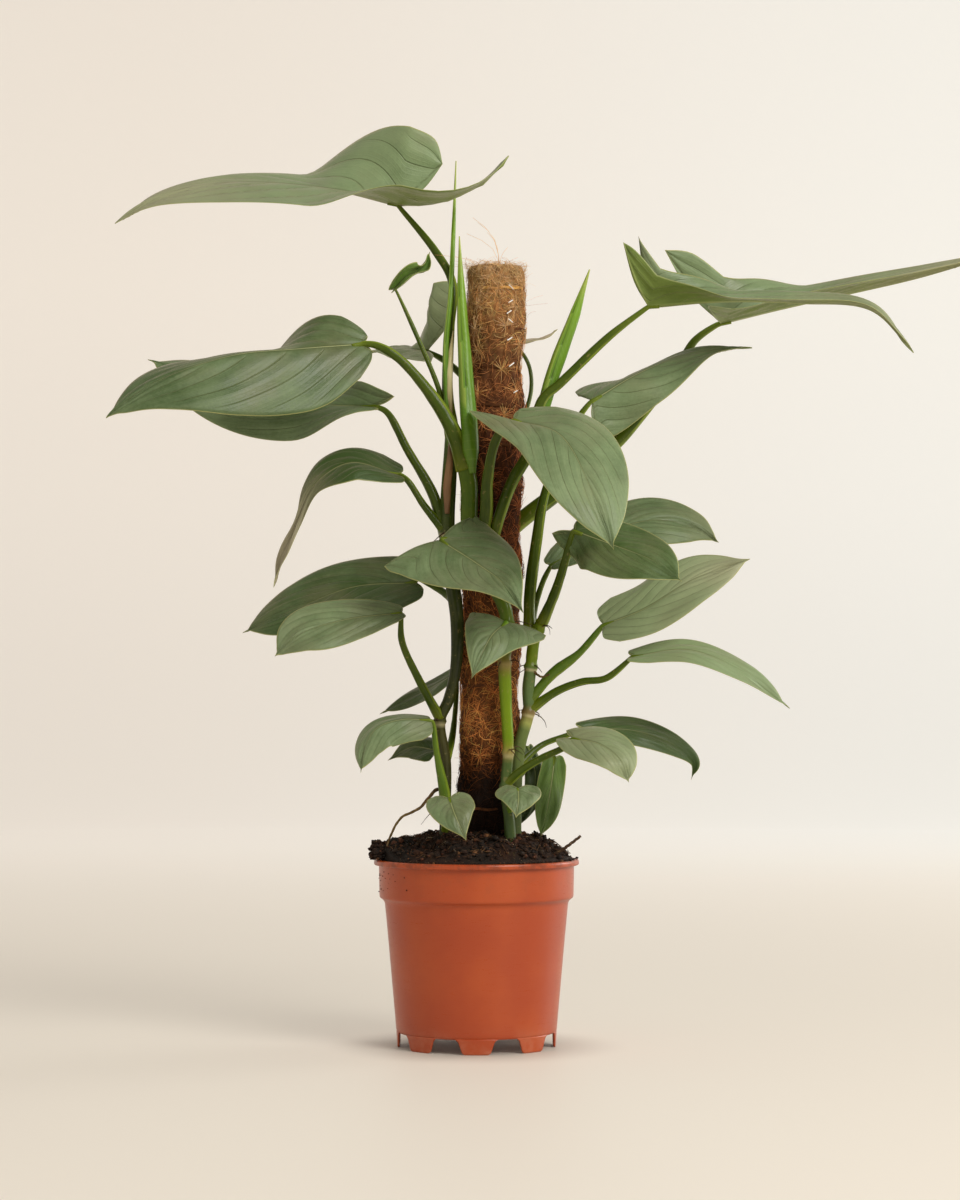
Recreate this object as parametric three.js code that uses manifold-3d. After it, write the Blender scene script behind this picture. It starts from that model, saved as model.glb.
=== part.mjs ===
// A potted climbing aroid: arrow-shaped grey-green leaves on four stems round a coir pole,
// in a round plastic nursery pot filled with potting soil.
// Millimetres, +Z up. Lengths below are measured from the pot's axis and the floor.
import * as THREE from "three";
import { mergeVertices } from "three/addons/utils/BufferGeometryUtils.js";
import Module from "manifold-3d";

const wasm = await Module();
wasm.setup();

// Driving dimensions of the pot
const POT_SIDES = 32;
const LIP_RADIUS = 85;
const LIP_TOP = 155;
const LIP_HEIGHT = 4.5;
const BAND_RADIUS = 81;
const BAND_BOTTOM = 124;
const BODY_TOP_RADIUS = 76.4;
const BODY_FOOT_RADIUS = 66.6;
const WALL = 1.4;
const BASE_UNDERSIDE = 12;
const BASE_THICKNESS = 1.6;
const FOOT_COUNT = 8;
const FOOT_GAP_TOP = 14;
const FOOT_GAP_BOTTOM = 24;
const DRAIN_RADIUS = 5;
const DRAIN_CIRCLE = 44;

// Driving dimensions of the soil
const SOIL_SECTORS = 24;
const SOIL_RINGS = 5;
const SOIL_EDGE_HEIGHT = 156;
const SOIL_MOUND = 20;
const CRUMB_COUNT = 20;

// Driving dimensions of the coir pole
const POLE_FOOT = [8, 0, 120];
const POLE_TOP = [16, 0, 647];
const POLE_RADIUS = 23.5;
const POLE_SIDES = 16;
const POLE_STEPS = 18;
const STAKE_RADIUS = 7;
const STAKE_TOP = 612;
const STAKE_BOTTOM = 22;

// Thicknesses and gaps
const BLADE_THICKNESS = 0.9;
const GAP = 0.35;

// Colours, roughness and metalness
function finish(colour, roughness) {
  return new THREE.MeshStandardMaterial({ color: colour, roughness, metalness: 0 });
}
const POT_PLASTIC = finish(0xb05430, 0.42);
const SOIL = finish(0x2c1d16, 0.95);
const COIR = finish(0x8a5a34, 0.95);
const STAKE_WOOD = finish(0xa98558, 0.7);
const STEM_GREEN = finish(0x3d5a1c, 0.4);
const ROLLED_GREEN = finish(0x7aa038, 0.38);
const BLADE_GREEN = finish(0x6f8262, 0.42);
const ROOT_BROWN = finish(0x4a3524, 0.8);

// Solids

function toSolid(geometry) {
  const bare = geometry.clone();
  bare.deleteAttribute("normal");
  bare.deleteAttribute("uv");
  const merged = mergeVertices(bare, 1e-4);
  return new wasm.Manifold(new wasm.Mesh({
    numProp: 3,
    vertProperties: new Float32Array(merged.attributes.position.array),
    triVerts: new Uint32Array(merged.index.array),
  }));
}

function toGeometry(solid) {
  const mesh = solid.getMesh();
  const geometry = new THREE.BufferGeometry();
  geometry.setAttribute("position", new THREE.BufferAttribute(mesh.vertProperties, 3));
  geometry.setIndex(new THREE.BufferAttribute(mesh.triVerts, 1));
  geometry.computeVertexNormals();
  return geometry;
}

function join(solids) {
  return solids.reduce((whole, next) => whole.add(next));
}

// A cut can leave loose scraps, so only the largest body stays.
function largest(solid) {
  const bodies = solid.decompose();
  return bodies.reduce((best, body) => (body.volume() > best.volume() ? body : best));
}

function without(solid, tools) {
  return largest(tools.reduce((rest, tool) => rest.subtract(tool), solid));
}

function indexedGeometry(vertices, triangles) {
  const geometry = new THREE.BufferGeometry();
  geometry.setAttribute("position", new THREE.Float32BufferAttribute(vertices.flat(), 3));
  geometry.setIndex(triangles.flat());
  return geometry;
}

// Stems, petioles, rolled leaves and roots

function smoothCurve(points) {
  return new THREE.CatmullRomCurve3(points.map((p) => new THREE.Vector3(...p)), false, "centripetal");
}

// A closed tube along a smooth curve. radii are spread evenly along it, and grow swells it all
// over for cutting a clear space.
function tube({ points, radii, sides, steps }, grow = 0) {
  const curve = smoothCurve(points);
  const frames = curve.computeFrenetFrames(steps, false);
  const vertices = [];
  const triangles = [];
  for (let step = 0; step <= steps; step += 1) {
    const u = step / steps;
    const centre = curve.getPointAt(u);
    const end = step === 0 ? -1 : step === steps ? 1 : 0;
    centre.addScaledVector(frames.tangents[step], end * grow);
    const place = u * (radii.length - 1);
    const stop = Math.min(Math.floor(place), radii.length - 2);
    const radius = THREE.MathUtils.lerp(radii[stop], radii[stop + 1], place - stop) + grow;
    for (let side = 0; side < sides; side += 1) {
      const angle = (side / sides) * 2 * Math.PI;
      const point = centre.clone();
      point.addScaledVector(frames.normals[step], radius * Math.cos(angle));
      point.addScaledVector(frames.binormals[step], radius * Math.sin(angle));
      vertices.push(point.toArray());
    }
  }
  for (let step = 0; step < steps; step += 1) {
    for (let side = 0; side < sides; side += 1) {
      const a = step * sides + side;
      const b = step * sides + ((side + 1) % sides);
      triangles.push([a, b, b + sides], [a, b + sides, a + sides]);
    }
  }
  const last = steps * sides;
  for (let side = 1; side < sides - 1; side += 1) {
    triangles.push([0, side + 1, side]);
    triangles.push([last, last + side, last + side + 1]);
  }
  return toSolid(indexedGeometry(vertices, triangles));
}

// Leaf blades

// Half outlines of a blade as [across, along]. Across is a share of the half width. Along is a
// share of the blade's length in front of the joint, and of the lobe's length behind it.
const OUTLINES = {
  arrow: [[0.62, -1], [0.9, -0.62], [0.98, 0.02], [0.96, 0.14], [0.9, 0.34], [0.7, 0.56], [0.4, 0.78],
    [0.14, 0.93], [0, 1]],
  heart: [[0.5, -1], [0.86, -0.6], [1, 0.06], [0.99, 0.2], [0.86, 0.42], [0.6, 0.64], [0.27, 0.83],
    [0.08, 0.94], [0, 1]],
  long: [[0.3, -1], [0.52, -0.5], [0.82, 0.1], [1, 0.28], [0.96, 0.48], [0.76, 0.68], [0.42, 0.85],
    [0.13, 0.95], [0, 1]],
  blunt: [[0.3, -1], [0.6, -0.5], [0.88, 0.08], [1, 0.28], [1, 0.5], [0.84, 0.7], [0.52, 0.86],
    [0.15, 0.96], [0, 1]],
  taper: [[0.12, -1], [0.3, -0.5], [0.56, 0.04], [0.92, 0.18], [1, 0.34], [0.88, 0.56], [0.54, 0.78],
    [0.17, 0.94], [0, 1]],
  paddle: [[0.15, -1], [0.32, -0.5], [0.55, 0.06], [0.84, 0.26], [1, 0.5], [0.94, 0.7], [0.66, 0.86],
    [0.18, 0.96], [0, 1]],
  wide: [[0.97, -1], [1, -0.4], [0.95, 0.04], [0.9, 0.14], [0.76, 0.34], [0.57, 0.54], [0.33, 0.76],
    [0.1, 0.92], [0, 1]],
  tail: [[0.3, -1], [0.6, -0.5], [0.88, 0.08], [1, 0.2], [0.9, 0.34], [0.36, 0.5], [0.14, 0.68],
    [0.3, 0.84], [0, 1]],
};
const SHOULDER = 2;

// A smooth value through four stops: the lobe's end, the joint, a third of the way, and the tip.
const STOPS = [-0.3, 0, 0.33, 1];
function alongStops(values, along) {
  const after = STOPS.findIndex((stop) => stop >= along);
  const next = after < 0 ? STOPS.length - 1 : Math.max(after, 1);
  const share = THREE.MathUtils.clamp((along - STOPS[next - 1]) / (STOPS[next] - STOPS[next - 1]), 0, 1);
  const eased = share * share * (3 - 2 * share);
  return THREE.MathUtils.lerp(values[next - 1], values[next], eased);
}

// Carries a point of the flat blade to its place on the bent one. Each half turns up from the
// midrib by its fold, in degrees, and goes on turning by its curl towards the margin.
function bladePlace(leaf) {
  const spine = smoothCurve(leaf.spine);
  const length = spine.getLength();
  const faceBase = new THREE.Vector3(...leaf.face[0]);
  const faceTip = new THREE.Vector3(...leaf.face[1]);
  return (across, along) => {
    const share = THREE.MathUtils.clamp(along / length, 0, 1);
    const tangent = spine.getTangentAt(share);
    const up = faceBase.clone().lerp(faceTip, share);
    up.addScaledVector(tangent, -up.dot(tangent)).normalize();
    const right = tangent.clone().cross(up);
    const place = spine.getPointAt(share);
    const sideName = across < 0 ? 0 : 1;
    if (along < 0) {
      const back = leaf.lobe[sideName] * length;
      const lift = THREE.MathUtils.degToRad(leaf.lift[sideName]) + 1e-4;
      const turn = (lift * -along) / back;
      place.addScaledVector(tangent, (-back / lift) * Math.sin(turn));
      place.addScaledVector(up, (back / lift) * (1 - Math.cos(turn)));
    }
    const t = along / length;
    const fold = THREE.MathUtils.degToRad(alongStops(leaf.fold[sideName], t));
    const curl = THREE.MathUtils.degToRad(alongStops(leaf.curl[sideName], t)) + 1e-4;
    const width = Math.abs(across);
    const turn = (curl * width) / leaf.half;
    const reach = (leaf.half / curl) * (Math.sin(fold + turn) - Math.sin(fold));
    const rise = (leaf.half / curl) * (Math.cos(fold) - Math.cos(fold + turn));
    const ripple = leaf.wave * (width / leaf.half) ** 2 * Math.sin(9 * t + 2.1 * sideName + leaf.phase);
    place.addScaledVector(right, Math.sign(across) * reach);
    place.addScaledVector(up, rise + ripple);
    return place;
  };
}

// The blade's middle surface: rows from the lobes' ends to the tip, each from the midrib or the
// lobe's inner edge out to the margin. Points shared by rows or halves are made once.
function bladeSurface(leaf, lobeRows, mainRows, columns) {
  const place = bladePlace(leaf);
  const length = smoothCurve(leaf.spine).getLength();
  const vertices = [];
  const known = new Map();
  const point = (across, along) => {
    const key = `${across.toFixed(3)} ${along.toFixed(3)}`;
    if (!known.has(key)) {
      known.set(key, vertices.length);
      vertices.push(place(across, along));
    }
    return known.get(key);
  };
  const triangles = [];
  for (const side of [-1, 1]) {
    const back = leaf.lobe[side < 0 ? 0 : 1] * length;
    const scaled = OUTLINES[leaf.shape].map(([x, y]) => (
      new THREE.Vector2(x * leaf.half, y < 0 ? y * back : y * length)));
    const lobeEdge = new THREE.SplineCurve(scaled.slice(0, SHOULDER + 1));
    const mainEdge = new THREE.SplineCurve(scaled.slice(SHOULDER));
    const notch = new THREE.SplineCurve([
      scaled[0],
      new THREE.Vector2(scaled[0].x * 0.42, -0.62 * back),
      new THREE.Vector2(0, 0),
    ]);
    const rows = [];
    for (let row = 0; row <= lobeRows + mainRows; row += 1) {
      const inLobe = row < lobeRows;
      const share = inLobe ? row / lobeRows : (row - lobeRows) / mainRows;
      const inner = inLobe ? notch.getPoint(share) : new THREE.Vector2(0, length * share);
      const outer = inLobe ? lobeEdge.getPoint(share) : mainEdge.getPoint(share);
      const line = [];
      for (let column = 0; column <= columns; column += 1) {
        const at = inner.clone().lerp(outer, column / columns);
        line.push(point(side * at.x + 0, at.y));
      }
      rows.push(line);
    }
    for (let row = 0; row < rows.length - 1; row += 1) {
      for (let column = 0; column < columns; column += 1) {
        const [a, b] = [rows[row][column], rows[row][column + 1]];
        const [d, c] = [rows[row + 1][column], rows[row + 1][column + 1]];
        const pair = [[a, b, c], [a, c, d]];
        for (const corner of pair) {
          const ordered = side > 0 ? corner : [corner[0], corner[2], corner[1]];
          if (new Set(ordered).size === 3) triangles.push(ordered);
        }
      }
    }
  }
  return { vertices, triangles };
}

// Gives a surface the same triangles on both faces, with a wall along its open edges.
function thicken({ vertices, triangles }, thickness) {
  const normals = vertices.map(() => new THREE.Vector3());
  for (const [a, b, c] of triangles) {
    const ab = vertices[b].clone().sub(vertices[a]);
    const ac = vertices[c].clone().sub(vertices[a]);
    const normal = ab.cross(ac);
    [a, b, c].forEach((corner) => normals[corner].add(normal));
  }
  const layer = (offset) => vertices.map((vertex, i) => (
    vertex.clone().addScaledVector(normals[i].clone().normalize(), offset).toArray()));
  const count = vertices.length;
  const solid = [];
  const open = new Map();
  for (const [a, b, c] of triangles) {
    solid.push([a, b, c], [a + count, c + count, b + count]);
    for (const [from, to] of [[a, b], [b, c], [c, a]]) {
      if (!open.delete(`${to} ${from}`)) open.set(`${from} ${to}`, [from, to]);
    }
  }
  for (const [from, to] of open.values()) {
    solid.push([from, from + count, to + count], [from, to + count, to]);
  }
  return indexedGeometry([...layer(thickness / 2), ...layer(-thickness / 2)], solid);
}

// Stems: each from its foot in the soil to its topmost joint, with thicker rings at the nodes.
const STEMS = {
  stem_left: {
    line: [[-27, -16, 96], [-27, -16, 163], [-25, -16, 233], [-30, -16, 270], [-23, -17, 287],
      [-17, -19, 313], [-16, -20, 353], [-20, -18, 386], [-24, -16, 425], [-22, -16, 477], [-20, -18, 509]],
    radii: [4, 4.2, 4.2, 4.4, 4.6, 5.6, 6.2, 6.2, 5.6],
    nodes: [270, 425],
  },
  stem_front: {
    line: [[29, -34, 96], [28, -34, 164], [27, -34, 186], [24, -34, 217], [26, -34, 244], [24, -35, 287],
      [23, -37, 318], [24, -38, 358], [9, -34, 392], [-5, -32, 426], [-6, -33, 462], [-9, -34, 479]],
    radii: [4.8, 4.8, 4.6, 4.4, 5, 5.4, 6.4, 7, 7],
    nodes: [216, 244, 318, 350],
  },
  stem_right: {
    line: [[33, -17, 96], [33, -17, 163], [33, -18, 213], [36, -15, 250], [43, -13, 277], [43, -13, 297],
      [45, -13, 314], [48, -14, 337], [54, -18, 352]],
    radii: [4.2, 4.2, 4.4, 5, 5, 4.8],
    nodes: [277, 314, 345],
  },
  stem_back: {
    line: [[14, 32, 96], [14, 32, 161], [16, 33, 237], [19, 34, 304], [21, 35, 371], [21, 36, 439],
      [12, 37, 506], [6, 38, 540]],
    radii: [5, 5, 5.4, 5.8, 5.4],
    nodes: [237, 371, 439],
  },
};

// Petioles: from inside their stem to the joint of their blade.
const PETIOLES = {
  leaf_top_left: {
    stem: "stem_left", radii: [5, 4.4, 3.6],
    line: [[-20, -18, 509], [-24, -18, 542], [-22, -18, 592], [-20, -16, 631], [-35, -12, 659],
      [-64, -8, 695]],
  },
  leaf_young_curled: {
    stem: "stem_left", radii: [3, 2.2, 2],
    line: [[-22, -18, 500], [-30, -23, 539], [-46, -25, 579], [-66.5, -24, 624]],
  },
  leaf_behind_pole: {
    stem: "stem_back", radii: [3.6, 3.2, 3],
    line: [[8, 38, 528], [-4, 50, 552], [-24, 63, 574], [-41, 74, 585]],
  },
  leaf_behind_pole_right: {
    stem: "stem_back", radii: [2.6, 2.2, 1.8],
    line: [[14, 37, 492], [36, 42, 520], [46, 48, 548], [44, 53, 572], [34, 55, 586], [22, 54, 588]],
  },
  leaf_upper_left: {
    stem: "stem_front", radii: [7, 6.6, 5.4, 4],
    line: [[-8, -34, 476], [-21, -38, 511], [-40, -42, 540], [-64, -44, 566], [-82, -45, 576],
      [-92, -45, 577]],
  },
  leaf_upper_left_rear: {
    stem: "stem_left", radii: [5, 4.6, 3.6],
    line: [[-24, -16, 418], [-36, -12, 457], [-57, -9, 494], [-75, -6, 526], [-86, -5, 530]],
  },
  leaf_hanging: {
    stem: "stem_left", radii: [3.8, 3.4, 2.8],
    line: [[-24, -16, 424], [-43, -17, 447], [-57, -16, 468], [-64, -15, 473]],
  },
  leaf_mid_left: {
    stem: "stem_left", radii: [3.6, 3.2, 2.8],
    line: [[-17, -19, 368], [-27, -6, 376], [-40, 4, 384], [-50, 8, 389]],
  },
  leaf_mid_left_front: {
    stem: "stem_left", radii: [3.8, 3.6, 3],
    line: [[-30, -17, 272], [-47, -30, 303], [-61, -44, 336], [-61, -48, 356]],
  },
  leaf_front_arrow: {
    stem: "stem_front", radii: [4, 3.6, 3],
    line: [[4, -33, 402], [-4, -48, 410], [-15, -62, 415], [-28, -71, 416]],
  },
  leaf_front_small: {
    stem: "stem_front", radii: [3.4, 3, 2.6],
    line: [[23, -37, 330], [24, -43, 341], [24, -49, 349]],
  },
  leaf_front_large: {
    stem: "stem_front", radii: [5.4, 5.4, 5, 4],
    line: [[2, -33, 404], [8, -40, 440], [9, -46, 466], [17, -58, 500], [29.5, -66, 511.5]],
  },
  leaf_top_right: {
    stem: "stem_front", radii: [4.4, 4.8, 4.8, 3.8],
    line: [[8, -34, 394], [19, -36, 438], [30, -34, 467], [43, -32, 490], [54, -30, 533], [68, -30, 546],
      [110, -30, 586], [139, -30, 608]],
  },
  leaf_top_right_rear: {
    stem: "stem_back", radii: [7, 7, 6, 4.4],
    line: [[20, 35, 424], [42, 32, 442], [71, 32, 464], [121, 32, 507], [171, 34, 569], [184, 36, 590],
      [204, 38, 604]],
  },
  leaf_upper_right: {
    stem: "stem_right", radii: [4.6, 5, 4.6, 3.6],
    line: [[44, -13, 340], [44, -8, 372], [50, -3, 420], [56, -2, 455], [71, -3, 496], [86, -6, 523],
      [95, -8, 534]],
  },
  leaf_mid_right: {
    stem: "stem_right", radii: [4.4, 4.2, 3.6],
    line: [[54, -18, 350], [65, -32, 377], [73, -50, 403], [78, -61, 422]],
  },
  leaf_mid_right_rear: {
    stem: "stem_right", radii: [2.8, 2.6, 2.4],
    line: [[46, -13, 344], [48, -8, 362], [55, -6, 385], [61, -8, 397]],
  },
  leaf_right_wide: {
    stem: "stem_right", radii: [3.4, 4, 4.6, 3],
    line: [[43, -13, 285], [62, -12, 308], [85, -13, 326], [104, -14, 348]],
  },
  leaf_right_long: {
    stem: "stem_right", radii: [4, 3.4, 3],
    line: [[43, -13, 278], [66, -12, 294], [87, -13, 302], [107, -14, 305], [128, -16, 322]],
  },
  leaf_low_right: {
    stem: "stem_front", radii: [3.4, 3.4, 3],
    line: [[24, -34, 217], [35, -40, 228], [52, -46, 239], [72, -52, 249], [77, -52, 254]],
  },
  leaf_low_right_rear: {
    stem: "stem_right", radii: [2.8, 2.6, 2.4],
    line: [[34, -16, 232], [53, -6, 249], [73, -2, 257], [85, 0, 261]],
  },
  leaf_low_hanging: {
    stem: "stem_right", radii: [2.6, 2.4, 2],
    line: [[33, -17, 222], [44, -4, 233], [57, 4, 240], [65, 6, 240]],
  },
  leaf_low_front: {
    stem: "stem_front", radii: [2.6, 2.2, 1.8],
    line: [[26, -34, 192], [29, -42, 206], [32, -47, 214]],
  },
  leaf_low_centre: {
    stem: "stem_left", radii: [3, 2.4, 2],
    line: [[-26, -16, 178], [-25, -34, 196], [-22, -51.5, 206.7]],
  },
  leaf_low_left: {
    stem: "stem_left", radii: [3, 5, 4, 2.6],
    line: [[-26, -16, 184], [-26, -24, 207], [-33, -34, 246], [-36, -38, 269]],
  },
  leaf_low_left_rear: {
    stem: "stem_left", radii: [2.2, 2, 1.8],
    line: [[-25, -16, 234], [-27, 0, 240], [-33, 21, 245]],
  },
  leaf_left_behind_stem: {
    stem: "stem_left", radii: [3, 3, 2.2],
    line: [[-25, -16, 234], [-20, 4, 257], [-17, 22, 287], [-16, 26, 309]],
  },
  leaf_low_strip: {
    stem: "stem_back", radii: [2.6, 2.4, 2],
    line: [[15, 32, 230], [28, 31, 245], [42, 23, 247]],
  },
};

const FLAT = [[0, 0, 0, 0], [0, 0, 0, 0]];
const SHALLOW = [[12, 12, 6, 4], [12, 12, 6, 4]];
const KEEL = [[40, 40, 40, 30], [40, 40, 40, 30]];
const DROOP = [[-20, -20, -20, -8], [-20, -20, -20, -8]];

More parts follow.
